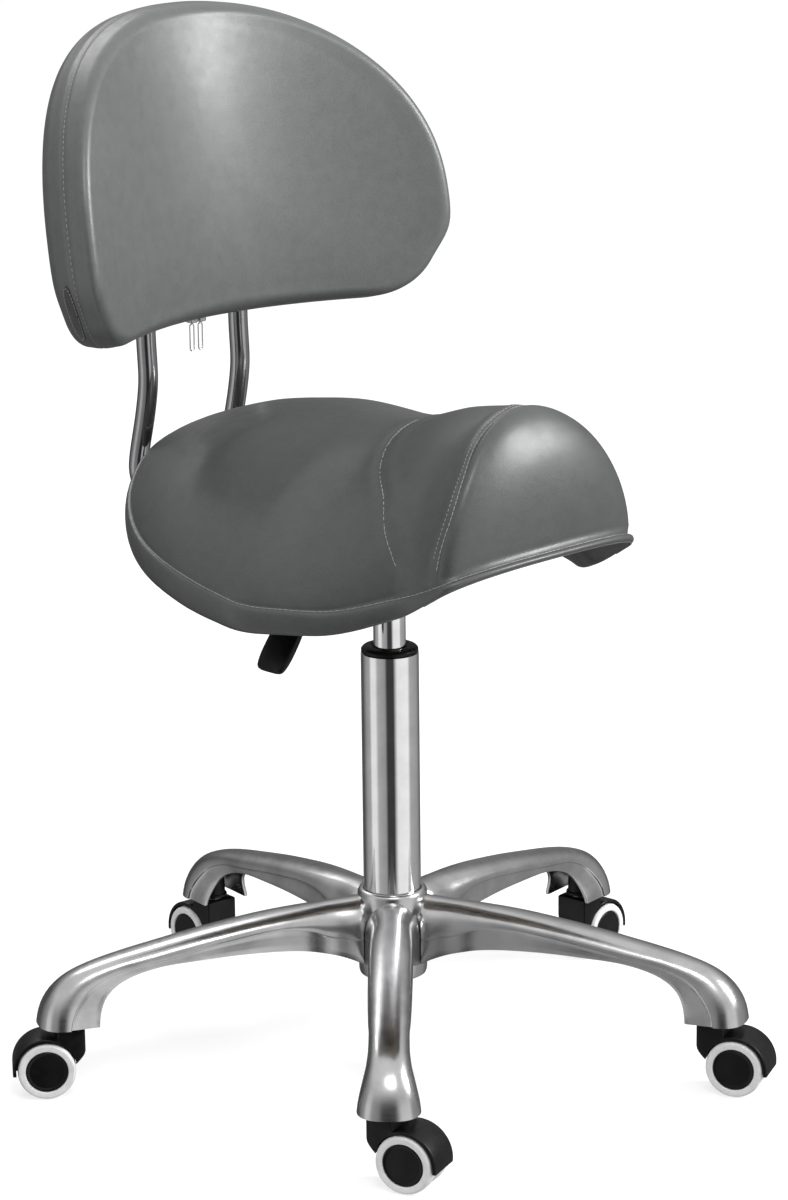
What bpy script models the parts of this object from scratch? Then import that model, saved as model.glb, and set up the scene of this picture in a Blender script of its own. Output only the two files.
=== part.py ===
"""Saddle stool with a backrest, on a gas column and a five-arm base with twin-wheel casters.

Metres, +Z up, floor at z = 0. The sitter faces -Y and +X is the sitter's left.
The swivel column stands at (COLUMN_X, COLUMN_Y), so that the whole stool's box is centred
on the origin. Every shape below is drawn about the column's axis.
"""
import math

import bmesh
import bpy
from mathutils import Matrix, Vector

# ---------------------------------------------------------------- driving dimensions
COLUMN_X = -0.0147
COLUMN_Y = -0.0137
GAP = 0.0003                      # clearance between touching pieces

# Base casting
STEM_CIRCLE = 0.2914              # column axis to caster stem axis
ARM_ANGLES = (-135.92, -63.92, 8.08, 80.08, 152.08)
ARM_STATIONS = (                  # radius, crest height, underside height, half width
    (0.022, 0.1475, 0.0920, 0.0150),
    (0.045, 0.1465, 0.0990, 0.0200),
    (0.090, 0.1440, 0.1075, 0.0195),
    (0.140, 0.1388, 0.1100, 0.0192),
    (0.190, 0.1308, 0.1095, 0.0185),
    (0.235, 0.1222, 0.1030, 0.0175),
    (0.258, 0.1175, 0.0910, 0.0168),
    (0.272, 0.1140, 0.0790, 0.0165),
    (0.288, 0.1085, 0.0790, 0.0155),
    (0.300, 0.1010, 0.0820, 0.0120),
)
ARM_WALL = 0.0040
HUB_RADIUS = 0.0300
HUB_TOP = 0.1535
HUB_BOTTOM = 0.0750
FOOT_BOTTOM = 0.0640
FOOT_PROFILE = ((0.0, 0.1040), (0.0090, 0.1015), (0.0158, 0.0950), (0.0200, 0.0870),
                (0.0245, 0.0760), (0.0268, FOOT_BOTTOM), (0.0, FOOT_BOTTOM))

# Gas column
TUBE_RADIUS = 0.0250
TUBE_TOP = 0.3658
TUBE_BOTTOM = 0.0800
TUBE_FOOT_RADIUS = 0.0243         # the lower end tapers into the hub
BUSH_TOP = 0.3715
CYLINDER_RADIUS = 0.0140
CYLINDER_BOTTOM = 0.1900
CYLINDER_TOP = 0.4800
ROD_RADIUS = 0.0050
ROD_BOTTOM = 0.0765
PISTON_BOTTOM = 0.3150

# Seat mechanism and height lever
PIVOT_X = -0.0220
PIVOT_Z = 0.4870
PLATE_TOP = 0.4924                # top of the mechanism's flange
BRACKET_TOP = 0.4957
BOARD_BOTTOM = 0.4960
BOARD_TOP = 0.5060
BOLT_X = 0.0620
BOLT_Y = 0.0480
LEVER_PATH = ((0.006, PIVOT_Z), (PIVOT_X, PIVOT_Z), (-0.040, 0.4855), (-0.056, 0.4800),
              (-0.078, 0.4610), (-0.098, 0.4360), (-0.118, 0.4093))
PADDLE_TIP = (-0.1425, 0.3775)
PADDLE_START = (-0.0985, 0.4353)

# Seat cushion. "forward" is the distance in front of the column's axis, so y = -forward.
SEAT_REAR_RADIUS = 0.1886
SEAT_REAR_CENTRE = -0.0451
SEAT_CORNER = (0.1137, 0.1650)    # half width and forward distance of the front corners
SEAT_FRONT = 0.1925
SEAT_HALF_WIDTH = ((-0.0451, 0.1886), (0.0, 0.1877), (0.05, 0.1683), (0.10, 0.1377),
                   (0.135, 0.1177), (0.165, 0.1137))
SEAT_SEAM_HEIGHT = ((-0.230, 0.5293), (-0.213, 0.5177), (-0.188, 0.5025), (-0.130, 0.4793),
                    (-0.070, 0.4647), (-0.020, 0.4533), (0.030, 0.4456), (0.070, 0.4454),
                    (0.128, 0.4590), (0.165, 0.4735), (0.198, 0.4915))
SEAT_SPINE = ((-0.080, 0.5711), (-0.030, 0.5702), (0.0, 0.5716), (0.045, 0.5784),
              (0.100, 0.5945), (0.150, 0.6032))
SEAT_CROWN_POWER = ((-0.230, 1.90), (-0.10, 2.15), (0.0, 2.05), (0.05, 1.69), (0.15, 1.58),
                    (0.198, 2.14))
SEAT_CROWN_ROOT = ((-0.230, 0.90), (-0.10, 0.711), (0.0, 0.724), (0.05, 0.783),
                   (0.15, 0.535), (0.198, 0.484))
SEAT_BAND_HEIGHT = ((-0.230, 0.022), (-0.05, 0.026), (0.03, 0.0225), (0.10, 0.0195),
                    (0.128, 0.0170), (0.165, 0.0098), (0.198, 0.005))
BOARD_SCALE = 0.70

# Backrest
BACKREST_HALF_WIDTH = 0.2144
BACKREST_BOTTOM = 0.6300
BACKREST_TOP = 0.8984
BACKREST_SHOULDER = 0.0838        # the widest point's height above the foot
BACKREST_LEAN = 0.153             # backward travel for each metre of height
BACKREST_SAGITTA = 0.0832         # how far the two ends curve forward
BACKREST_BACK = 0.2229            # column axis to the middle of the panel, at its foot
BACKREST_BAND = 0.0580
BACKREST_CROWN = 0.0090
BACKREST_REAR_CROWN = 0.0120
POCKET_GAP = 0.0020               # room round the curved board inside the cushion
TUBE_SPREAD = 0.0550
BACK_TUBE_RADIUS = 0.00875
BACK_TUBE_RUN = 0.4680            # height of the level part under the seat
BACK_TUBE_REAR = 0.2560
BACK_TUBE_BEND = 0.0300
BACK_TUBE_TURN = 103.0            # the bend goes past upright, to lean the tube forward

# Casters
CASTER_TRAIL = 0.0200
CASTER_HEADINGS = (-71.0, -65.4, 5.3, 84.7, 141.0)
WHEEL_RADIUS = 0.0250
HUB_DISC_RADIUS = 0.0180
WHEEL_INNER = 0.0033
WHEEL_WIDTH = 0.0152
HOOD_RADIUS = 0.0293
HOOD_HALF_WIDTH = 0.0174
NECK_FRONT = 0.0135               # how far the hood's neck reaches past the stem's axis

ROUND = 24


# ---------------------------------------------------------------- scene and helpers
for old in list(bpy.data.objects):
    bpy.data.objects.remove(old, do_unlink=True)

stool = bpy.data.collections.new("dental_saddle_stool")
cutters = bpy.data.collections.new("cutters")
bpy.context.scene.collection.children.link(stool)
bpy.context.scene.collection.children.link(cutters)


def material(name, colour, roughness, metallic=0.0):
    """A plain Principled material."""
    made = bpy.data.materials.new(name)
    made.use_nodes = True
    shader = made.node_tree.nodes["Principled BSDF"]
    shader.inputs["Base Color"].default_value = (*colour, 1.0)
    shader.inputs["Roughness"].default_value = roughness
    shader.inputs["Metallic"].default_value = metallic
    return made


ALUMINIUM = material("polished_aluminium", (0.80, 0.80, 0.81), 0.22, 1.0)
CHROME = material("chrome", (0.72, 0.72, 0.73), 0.08, 1.0)
STEEL = material("zinc_steel", (0.55, 0.55, 0.56), 0.35, 1.0)
BLACK_STEEL = material("black_steel", (0.03, 0.03, 0.03), 0.45)
BLACK_NYLON = material("black_nylon", (0.015, 0.015, 0.016), 0.40)
TREAD = material("light_tread", (0.72, 0.72, 0.72), 0.45)
VINYL = material("grey_vinyl", (0.085, 0.090, 0.090), 0.42)
PLYWOOD = material("plywood", (0.52, 0.36, 0.20), 0.60)


def empty(name, location, parent=None):
    """An axis marker that moving pieces hang on."""
    made = bpy.data.objects.new(name, None)
    made.empty_display_size = 0.02
    made.location = location
    made.parent = parent
    stool.objects.link(made)
    return made


def add(name, mesh, finish=None, parent=None, location=(0, 0, 0), heading=0.0):
    """Put a mesh in the stool, or among the cutters when it has no finish."""
    made = bpy.data.objects.new(name, mesh)
    made.location = location
    made.rotation_euler.z = math.radians(heading)
    made.parent = parent
    if finish is None:
        made.hide_render = True
        made.display_type = "WIRE"
        cutters.objects.link(made)
    else:
        if not mesh.materials:
            mesh.materials.append(finish)
        stool.objects.link(made)
    return made


def mesh_from(bm, name, sharp_degrees=35.0):
    """Turn a closed bmesh into a mesh with outward faces and smooth round sides."""
    bmesh.ops.recalc_face_normals(bm, faces=bm.faces)
    mesh = bpy.data.meshes.new(name)
    bm.to_mesh(mesh)
    bm.free()
    mesh.shade_smooth()
    mesh.set_sharp_from_angle(angle=math.radians(sharp_degrees))
    return mesh


def baked(obj, name):
    """The mesh that an object and its modifiers or bevel make."""
    bpy.context.view_layer.update()
    evaluated = obj.evaluated_get(bpy.context.evaluated_depsgraph_get())
    mesh = bpy.data.meshes.new_from_object(evaluated)
    mesh.name = name
    bm = bmesh.new()
    bm.from_mesh(mesh)
    bmesh.ops.remove_doubles(bm, verts=bm.verts, dist=0.00001)
    bmesh.ops.recalc_face_normals(bm, faces=bm.faces)
    bm.to_mesh(mesh)
    bm.free()
    bpy.data.objects.remove(obj, do_unlink=True)
    return mesh


def turned(name, profile, segments=ROUND):
    """Turn (radius, height) points about Z. A profile off the axis closes into a ring."""
    bm = bmesh.new()
    points = [bm.verts.new((radius, 0.0, height)) for radius, height in profile]
    for first, second in zip(points, points[1:]):
        bm.edges.new((first, second))
    if profile[0][0] > 0.0:
        bm.edges.new((points[-1], points[0]))
    mesh = bpy.data.meshes.new(name)
    bm.to_mesh(mesh)
    bm.free()
    blank = bpy.data.objects.new(name, mesh)
    stool.objects.link(blank)
    screw = blank.modifiers.new("turn", "SCREW")
    screw.steps = segments
    screw.render_steps = segments
    screw.use_merge_vertices = True
    screw.merge_threshold = 0.00001
    made = baked(blank, name)
    made.shade_smooth()
    made.set_sharp_from_angle(angle=math.radians(35.0))
    return made


def loft(name, rings, sharp_degrees=35.0, mirrored=False):
    """Skin equal rings of points. A mirrored ring's ends are closed by strips across it."""
    bm = bmesh.new()
    rows = [[bm.verts.new(point) for point in ring] for ring in rings]
    count = len(rows[0])
    for row, following in zip(rows, rows[1:]):
        for index in range(count):
            after = (index + 1) % count
            bm.faces.new((row[index], row[after], following[after], following[index]))
    for row in (rows[0], rows[-1]):
        if not mirrored:
            bm.faces.new(row)
            continue
        for index in range(count // 2):
            strip = (row[index], row[index + 1], row[count - index - 1], row[-index])
            bm.faces.new(list(dict.fromkeys(strip)))
    return mesh_from(bm, name, sharp_degrees)


def pipe(name, points, radius, sides=12):
    """A round bar along points, as a closed mesh."""
    curve = bpy.data.curves.new(name, "CURVE")
    curve.dimensions = "3D"
    curve.bevel_depth = radius
    curve.bevel_resolution = sides // 4 - 1
    curve.use_fill_caps = True
    spline = curve.splines.new("POLY")
    spline.points.add(len(points) - 1)
    for target, point in zip(spline.points, points):
        target.co = (*point, 1.0)
    bar = bpy.data.objects.new(name, curve)
    stool.objects.link(bar)
    made = baked(bar, name)
    made.shade_smooth()
    made.set_sharp_from_angle(angle=math.radians(40.0))
    return made


def plate(name, outline, thickness):
    """A flat outline in XY, extruded half its thickness each way."""
    curve = bpy.data.curves.new(name, "CURVE")
    curve.dimensions = "2D"
    curve.fill_mode = "BOTH"
    curve.extrude = thickness / 2
    spline = curve.splines.new("POLY")
    spline.use_cyclic_u = True
    spline.points.add(len(outline) - 1)
    for target, (x, y) in zip(spline.points, outline):
        target.co = (x, y, 0.0, 1.0)
    slab = bpy.data.objects.new(name, curve)
    stool.objects.link(slab)
    return baked(slab, name)


def box(name, low, high, bevel=0.0):
    """A box between two corners, with its upright edges rounded if bevel is given."""
    bm = bmesh.new()
    bmesh.ops.create_cube(bm, size=1.0)
    size = Vector(high) - Vector(low)
    centre = (Vector(high) + Vector(low)) / 2
    bmesh.ops.transform(bm, matrix=Matrix.Translation(centre) @ Matrix.Diagonal((*size, 1)),
                        verts=bm.verts)
    if bevel:
        upright = [edge for edge in bm.edges
                   if abs(edge.verts[0].co.z - edge.verts[1].co.z) > size.z / 2]
        bmesh.ops.bevel(bm, geom=upright, offset=bevel, segments=3, affect="EDGES",
                        profile=0.5)
    return mesh_from(bm, name)


def drum(name, radius, low, high, segments=ROUND, axis="Z"):
    """A cylinder along an axis, between two coordinates on that axis."""
    bm = bmesh.new()
    bmesh.ops.create_cone(bm, cap_ends=True, segments=segments, radius1=radius,
                          radius2=radius, depth=high - low)
    turn = Matrix.Identity(4)
    if axis == "Y":
        turn = Matrix.Rotation(math.radians(-90.0), 4, "X")
    lift = Matrix.Translation((0, 0, (low + high) / 2))
    bmesh.ops.transform(bm, matrix=turn @ lift, verts=bm.verts)
    return mesh_from(bm, name)


def shifted(mesh, offset):
    """Move a mesh's points."""
    mesh.transform(Matrix.Translation(offset))
    return mesh


def shape(target, operation, mesh, heading=0.0):
    """Join a mesh to the target or cut it away, in the target's own space."""
    tool = add(f"{target.name}_{operation.lower()}_{len(target.modifiers)}", mesh,
               parent=target, heading=heading)
    step = target.modifiers.new(operation.lower(), "BOOLEAN")
    step.operation = operation
    step.solver = "EXACT"
    step.object = tool


def smooth(position, table):
    """A smooth curve through (position, value) points that never overshoots them."""
    xs = [row[0] for row in table]
    ys = [row[1] for row in table]
    position = min(max(position, xs[0]), xs[-1])
    slopes = [(ys[i + 1] - ys[i]) / (xs[i + 1] - xs[i]) for i in range(len(xs) - 1)]
    tangents = [slopes[0]]
    for before, after in zip(slopes, slopes[1:]):
        same_way = before * after > 0.0
        tangents.append(2 * before * after / (before + after) if same_way else 0.0)
    tangents.append(slopes[-1])
    span = next(i for i in range(len(slopes)) if position <= xs[i + 1])
    width = xs[span + 1] - xs[span]
    u = (position - xs[span]) / width
    return ((2 * u**3 - 3 * u**2 + 1) * ys[span] + (u**3 - 2 * u**2 + u) * width * tangents[span]
            + (3 * u**2 - 2 * u**3) * ys[span + 1] + (u**3 - u**2) * width * tangents[span + 1])


column = empty("column_axis", (COLUMN_X, COLUMN_Y, 0.0))
seat_axis = empty("seat_axis", (0.0, 0.0, 0.0), column)


# ---------------------------------------------------------------- base casting
def arm_section(radius, crest, underside, half_width):
    """A rounded top on straight sides, across an arm that runs along +X."""
    crown = min(0.016, 0.55 * (crest - underside))
    ring = [(radius, -half_width, underside)]
    for step in range(7):
        angle = math.pi * (1 - step / 6)
        across = math.copysign(abs(math.cos(angle)) ** 0.75, math.cos(angle))
        ring.append((radius, 0.97 * half_width * across,
                     crest - crown + crown * math.sin(angle) ** 0.85))
    ring.append((radius, half_width, underside))
    return ring


def arm_cavity():
    """The channel under an arm, from the hub's wall to the foot's wall."""
    rings = []
    for radius, crest, underside, half_width in ARM_STATIONS[1:7]:
        rings.append(arm_section(radius, crest - ARM_WALL, underside - 0.006,
                                 half_width - ARM_WALL))
    return loft("arm_cavity", rings)


def arm_with_foot():
    """One channel-section arm along +X, with its hollow caster foot and stem boss."""
    arm = add("arm", loft("arm", [arm_section(*station) for station in ARM_STATIONS]),
              ALUMINIUM)
    foot = shifted(turned("foot", FOOT_PROFILE, 16), (STEM_CIRCLE, 0, 0))
    recess = turned("foot_recess", ((0.0205, 0.0790), (0.0222, 0.0620), (0.0112, 0.0620),
                                    (0.0118, 0.0790)), 16)
    bore = drum("stem_bore", 0.0055 + GAP, 0.0610, 0.0935, 12)
    shape(arm, "UNION", foot)
    shape(arm, "DIFFERENCE", arm_cavity())
    shape(arm, "DIFFERENCE", shifted(bore, (STEM_CIRCLE, 0, 0)))
    shape(arm, "DIFFERENCE", shifted(recess, (STEM_CIRCLE, 0, 0)))
    return baked(arm, "arm_with_foot")


def base_casting():
    """Hub, five channel-section arms and five caster feet, in one casting."""
    hub = turned("base_casting", ((0.0, HUB_TOP), (HUB_RADIUS - 0.0012, HUB_TOP),
                                  (HUB_RADIUS, HUB_TOP - 0.0015), (HUB_RADIUS, HUB_BOTTOM),
                                  (0.0, HUB_BOTTOM)), 32)
    casting = add("base_casting", hub, ALUMINIUM, column)
    arm = arm_with_foot()
    for angle in ARM_ANGLES:
        shape(casting, "UNION", arm, angle)
    bore = turned("hub_bore", ((0.0, 0.1600), (TUBE_RADIUS + GAP, 0.1600),
                               (TUBE_RADIUS + GAP, 0.1500),
                               (TUBE_FOOT_RADIUS + GAP, TUBE_BOTTOM),
                               (TUBE_FOOT_RADIUS + GAP, 0.0700), (0.0, 0.0700)), 32)
    shape(casting, "DIFFERENCE", bore)


# ---------------------------------------------------------------- gas column
def gas_column():
    """Outer tube, guide bush, thrust bearing, clip, rod with piston, cylinder and valve pin."""
    wall = 0.0018
    add("column_outer_tube", turned("column_outer_tube", (
        (TUBE_RADIUS, TUBE_TOP), (TUBE_RADIUS, 0.1500), (TUBE_FOOT_RADIUS, TUBE_BOTTOM),
        (0.0070, TUBE_BOTTOM), (0.0070, TUBE_BOTTOM + 0.003),
        (TUBE_FOOT_RADIUS - wall, TUBE_BOTTOM + 0.003), (TUBE_RADIUS - wall, 0.1500),
        (TUBE_RADIUS - wall, TUBE_TOP))), CHROME, column)
    inner = TUBE_RADIUS - wall - GAP
    add("column_guide_bush", turned("column_guide_bush", (
        (TUBE_RADIUS - 0.0012, BUSH_TOP), (TUBE_RADIUS, BUSH_TOP - 0.0014),
        (TUBE_RADIUS, TUBE_TOP + GAP), (inner, TUBE_TOP + GAP), (inner, 0.2720),
        (CYLINDER_RADIUS + GAP, 0.2720), (CYLINDER_RADIUS + GAP, BUSH_TOP))),
        BLACK_NYLON, column)
    bearing_top = TUBE_BOTTOM + 0.0093
    step_radius = ROD_RADIUS - 0.0010
    add("thrust_bearing", turned("thrust_bearing", (
        (0.0160, bearing_top), (0.0165, bearing_top - 0.003), (0.0160, TUBE_BOTTOM + 0.0033),
        (step_radius + GAP, TUBE_BOTTOM + 0.0033), (step_radius + GAP, bearing_top)), 24),
        STEEL, column)
    add("rod_retaining_clip", turned("rod_retaining_clip", (
        (0.0095, TUBE_BOTTOM - GAP), (0.0095, TUBE_BOTTOM - 0.0023),
        (step_radius + GAP, TUBE_BOTTOM - 0.0023), (step_radius + GAP, TUBE_BOTTOM - GAP)), 20),
        STEEL, column)
    add("gas_rod", turned("gas_rod", (
        (0.0, PISTON_BOTTOM + 0.015), (0.0117, PISTON_BOTTOM + 0.015), (0.0117, PISTON_BOTTOM),
        (ROD_RADIUS, PISTON_BOTTOM), (ROD_RADIUS, bearing_top + GAP),
        (step_radius, bearing_top + GAP), (step_radius, ROD_BOTTOM), (0.0, ROD_BOTTOM)), 24),
        STEEL, seat_axis)
    add("gas_cylinder", turned("gas_cylinder", (
        (CYLINDER_RADIUS, CYLINDER_TOP), (CYLINDER_RADIUS, CYLINDER_BOTTOM),
        (ROD_RADIUS + GAP, CYLINDER_BOTTOM), (ROD_RADIUS + GAP, CYLINDER_BOTTOM + 0.010),
        (0.0120, CYLINDER_BOTTOM + 0.010), (0.0120, CYLINDER_TOP - 0.015),
        (0.0033, CYLINDER_TOP - 0.015), (0.0033, CYLINDER_TOP))), CHROME, seat_axis)
    pin_top = PIVOT_Z - 0.0035 - 0.0004
    add("release_button", turned("release_button", (
        (0.0, pin_top), (0.0030, pin_top), (0.0030, 0.4620), (0.0055, 0.4620),
        (0.0055, 0.4585), (0.0, 0.4585)), 16), STEEL, seat_axis)


# ---------------------------------------------------------------- mechanism and lever
def bolt_places():
    """The four bolts that hold mechanism, bracket and board together."""
    return [(x, y) for x in (-BOLT_X, BOLT_X) for y in (-BOLT_Y, BOLT_Y)]


def seat_mechanism():
    """A pressed tray with a bolting flange and a socket for the gas cylinder."""
    flange = box("seat_mechanism", (-0.075, -0.060, PLATE_TOP - 0.003),
                 (0.075, 0.060, PLATE_TOP), 0.008)
    tray = add("seat_mechanism", flange, BLACK_STEEL, seat_axis)
    shape(tray, "UNION", box("tray", (-0.0560, -0.035, 0.4695), (0.045, 0.035, 0.4910), 0.005))
    shape(tray, "UNION", drum("socket", 0.0185, 0.4530, 0.4715, 24))
    shape(tray, "DIFFERENCE", box("tray_room", (-0.0535, -0.0325, 0.4720),
                                  (0.0425, 0.0325, 0.5000), 0.003))
    shape(tray, "DIFFERENCE", drum("socket_bore", CYLINDER_RADIUS + GAP, 0.4400, 0.4800, 24))
    shape(tray, "DIFFERENCE", box("lever_slot", (-0.0600, -0.0070, 0.4742),
                                  (-0.0500, 0.0070, 0.4888)))
    shape(tray, "DIFFERENCE", shifted(drum("pivot_holes", 0.0028, -0.040, 0.040, 16, "Y"),
                                      (PIVOT_X, 0, PIVOT_Z)))
    for x, y in bolt_places():
        shape(tray, "DIFFERENCE", shifted(drum("bolt_hole", 0.0043, 0.480, 0.500, 16),
                                          (x, y, 0)))


def mechanism_bolts():
    """Hexagon bolts up through the flange and the bracket into the seat board."""
    head_top = PLATE_TOP - 0.003 - GAP
    shank = drum("mechanism_bolt", 0.0040, head_top - 0.001, BOARD_TOP - 0.0015, 12)
    head = drum("bolt_head", 0.0072, head_top - 0.0055, head_top, 6)
    for number, (x, y) in enumerate(bolt_places(), start=1):
        bolt = add(f"mechanism_bolt_{number}", shank, STEEL, seat_axis, (x, y, 0))
        shape(bolt, "UNION", head)


def height_lever():
    """The steel lever on its pivot pin, and the moulded paddle on its end."""
    pivot = empty("lever_axis", (PIVOT_X, 0.0, PIVOT_Z), seat_axis)
    path = [(x - PIVOT_X, 0.0, z - PIVOT_Z) for x, z in LEVER_PATH]
    lever = add("height_lever", pipe("height_lever", path, 0.0035), BLACK_STEEL, pivot)
    shape(lever, "UNION", drum("lever_boss", 0.0050, -0.009, 0.009, 16, "Y"))
    shape(lever, "DIFFERENCE", drum("lever_bore", 0.0028, -0.015, 0.015, 16, "Y"))
    add("lever_pivot_pin", shifted(drum("lever_pivot_pin", 0.0025, -0.0380, 0.0380, 12, "Y"),
                                   (PIVOT_X, 0, PIVOT_Z)), STEEL, seat_axis)

    start = Vector((PADDLE_START[0] - PIVOT_X, 0.0, PADDLE_START[1] - PIVOT_Z))
    along = Vector((PADDLE_TIP[0] - PIVOT_X, 0.0, PADDLE_TIP[1] - PIVOT_Z)) - start
    normal = Vector((0, 1, 0)).cross(along.normalized())
    rings = []
    for part, half_width, half_depth in ((0.0, 0.0085, 0.0060), (0.25, 0.0120, 0.0062),
                                         (0.55, 0.0165, 0.0056), (0.85, 0.0168, 0.0048),
                                         (0.97, 0.0145, 0.0040), (1.0, 0.0110, 0.0024)):
        centre = start + along * part
        ring = []
        for step in range(16):
            angle = math.tau * step / 16
            across = math.copysign(abs(math.cos(angle)) ** 0.6, math.cos(angle)) * half_width
            deep = math.copysign(abs(math.sin(angle)) ** 0.7, math.sin(angle)) * half_depth
            ring.append(centre + Vector((0, 1, 0)) * across + normal * deep)
        rings.append(ring)
    paddle = add("lever_paddle", loft("lever_paddle", rings), BLACK_NYLON, pivot)
    entry = start - along.normalized() * 0.010
    shape(paddle, "DIFFERENCE", pipe("paddle_socket", [entry, Vector(path[-1]) + along * 0.02],
                                     0.0035 + GAP))


# ---------------------------------------------------------------- seat
def seat_outline(scale=1.0, grow=0.0):
    """(x, forward) points round the seat's seam, from the back and round by +X."""
    half = []
    for step in range(9):
        angle = math.radians(90.0 * step / 9)
        half.append((SEAT_REAR_RADIUS * math.sin(angle),
                     SEAT_REAR_CENTRE - SEAT_REAR_RADIUS * math.cos(angle)))
    for step in range(10):
        forward = SEAT_REAR_CENTRE + (SEAT_CORNER[1] - SEAT_REAR_CENTRE) * step / 10
        half.append((smooth(forward, SEAT_HALF_WIDTH), forward))
    for step in range(7):
        angle = math.radians(90.0 * step / 6)
        half.append((SEAT_CORNER[0] * math.cos(angle) ** 0.82 if step < 6 else 0.0,
                     SEAT_CORNER[1] + (SEAT_FRONT - SEAT_CORNER[1]) * math.sin(angle) ** 0.82))
    loop = half + [(-x, forward) for x, forward in reversed(half[1:-1])]
    middle = (SEAT_FRONT + SEAT_REAR_CENTRE - SEAT_REAR_RADIUS) / 2
    points = []
    for x, forward in loop:
        reach = math.hypot(x, forward - middle)
        factor = scale * (1.0 + grow / (scale * reach))
        points.append((x * factor, middle + (forward - middle) * factor))
    return points


def seat_point(x, forward, share):
    """The seat's top, a share of the way out from its spine to a point of the seam."""
    spine_at = min(max(forward, SEAT_SPINE[0][0]), SEAT_SPINE[-1][0])
    seam = smooth(forward, SEAT_SEAM_HEIGHT)
    crest = smooth(spine_at, SEAT_SPINE)
    fall = 1.0 - share ** smooth(forward, SEAT_CROWN_POWER)
    height = seam + (crest - seam) * fall ** smooth(forward, SEAT_CROWN_ROOT)
    return (x * share, -(spine_at + (forward - spine_at) * share), height)


def seat_cushion():
    """The saddle: crowned top, side band, and a hollow underside with room for the board."""
    outline = seat_outline()
    rings = []
    for share in (0.12, 0.35, 0.58, 0.76, 0.89, 0.965, 1.0):
        rings.append([seat_point(x, forward, share) for x, forward in outline])
    bulged = seat_outline(grow=0.0049)
    tucked = seat_outline(grow=0.0005)
    middle, lower = [], []
    for (x, forward), (wide_x, wide), (low_x, low) in zip(outline, bulged, tucked):
        seam = smooth(forward, SEAT_SEAM_HEIGHT)
        band = smooth(forward, SEAT_BAND_HEIGHT)
        middle.append((wide_x, -wide, seam - 0.55 * band))
        lower.append((low_x, -low, seam - band))
    rings += [middle, lower]
    pocket = seat_outline(BOARD_SCALE, GAP)
    rings.append([(x, -forward, BOARD_BOTTOM) for x, forward in pocket])
    rings.append([(x, -forward, BOARD_TOP + GAP) for x, forward in pocket])
    add("seat_cushion", loft("seat_cushion", rings, 60.0, True), VINYL, seat_axis)


def seat_board():
    """The plywood base that the mechanism bolts to."""
    outline = [(x, -forward) for x, forward in seat_outline(BOARD_SCALE)]
    slab = shifted(plate("seat_board", outline, BOARD_TOP - BOARD_BOTTOM),
                   (0, 0, (BOARD_TOP + BOARD_BOTTOM) / 2))
    board = add("seat_board", slab, PLYWOOD, seat_axis)
    for x, y in bolt_places():
        shape(board, "DIFFERENCE", shifted(drum("board_hole", 0.0043, 0.490, 0.510, 16),
                                           (x, y, 0)))


# ---------------------------------------------------------------- backrest
def panel_point(x, height, forward):
    """A point of the curved, leaning backrest, a distance forward of its middle surface."""
    lean = math.atan(BACKREST_LEAN)
    back = BACKREST_BACK + BACKREST_LEAN * (height - BACKREST_BOTTOM)
    bow = BACKREST_SAGITTA * (x / BACKREST_HALF_WIDTH) ** 2
    return (x, back - bow - forward * math.cos(lean), height + forward * math.sin(lean))


def panel_outline(scale=1.0, grow=0.0):
    """(x, height) points of the D-shaped outline, from the foot's middle round by +X."""
    shoulder = BACKREST_BOTTOM + BACKREST_SHOULDER
    corner = 0.055
    foot = BACKREST_HALF_WIDTH - 0.012 - corner
    half = [(foot * step / 3, BACKREST_BOTTOM) for step in range(4)]
    for step in range(1, 5):
        angle = math.radians(90.0 * step / 4)
        half.append((foot + corner * math.sin(angle),
                     BACKREST_BOTTOM + corner * (1 - math.cos(angle))))
    for step in range(8):
        angle = math.radians(90.0 * step / 7)
        half.append((BACKREST_HALF_WIDTH * math.cos(angle) ** 0.92 if step < 7 else 0.0,
                     shoulder + (BACKREST_TOP - shoulder) * math.sin(angle) ** 0.863))
    loop = half + [(-x, height) for x, height in reversed(half[1:-1])]
    middle = (BACKREST_BOTTOM + BACKREST_TOP) / 2
    points = []
    for x, height in loop:
        reach = math.hypot(x, height - middle)
        factor = scale * (1.0 + grow / (scale * reach))
        points.append((x * factor, middle + (height - middle) * factor))
    return points


def panel_rings(layers):
    """Rings of the panel for (scale, grow, forward) layers."""
    return [[panel_point(x, height, forward) for x, height in panel_outline(scale, grow)]
            for scale, grow, forward in layers]


def tube_path(x):
    """From under the board, round behind the seat and up into the backrest."""
    path = [(x, 0.0740, BACK_TUBE_RUN)]
    centre_y = BACK_TUBE_REAR - BACK_TUBE_BEND
    for step in range(7):
        angle = math.radians(BACK_TUBE_TURN * step / 6)
        path.append((x, centre_y + BACK_TUBE_BEND * math.sin(angle),
                     BACK_TUBE_RUN + BACK_TUBE_BEND * (1 - math.cos(angle))))
    for y, z in ((0.2477, 0.536), (0.2418, 0.564), (0.2402, 0.578), (0.2404, 0.592),
                 (0.2415, 0.612), (0.2424, 0.645), (0.2455, 0.670), (0.2545, 0.730)):
        path.append((x, y, z))
    return path


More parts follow.
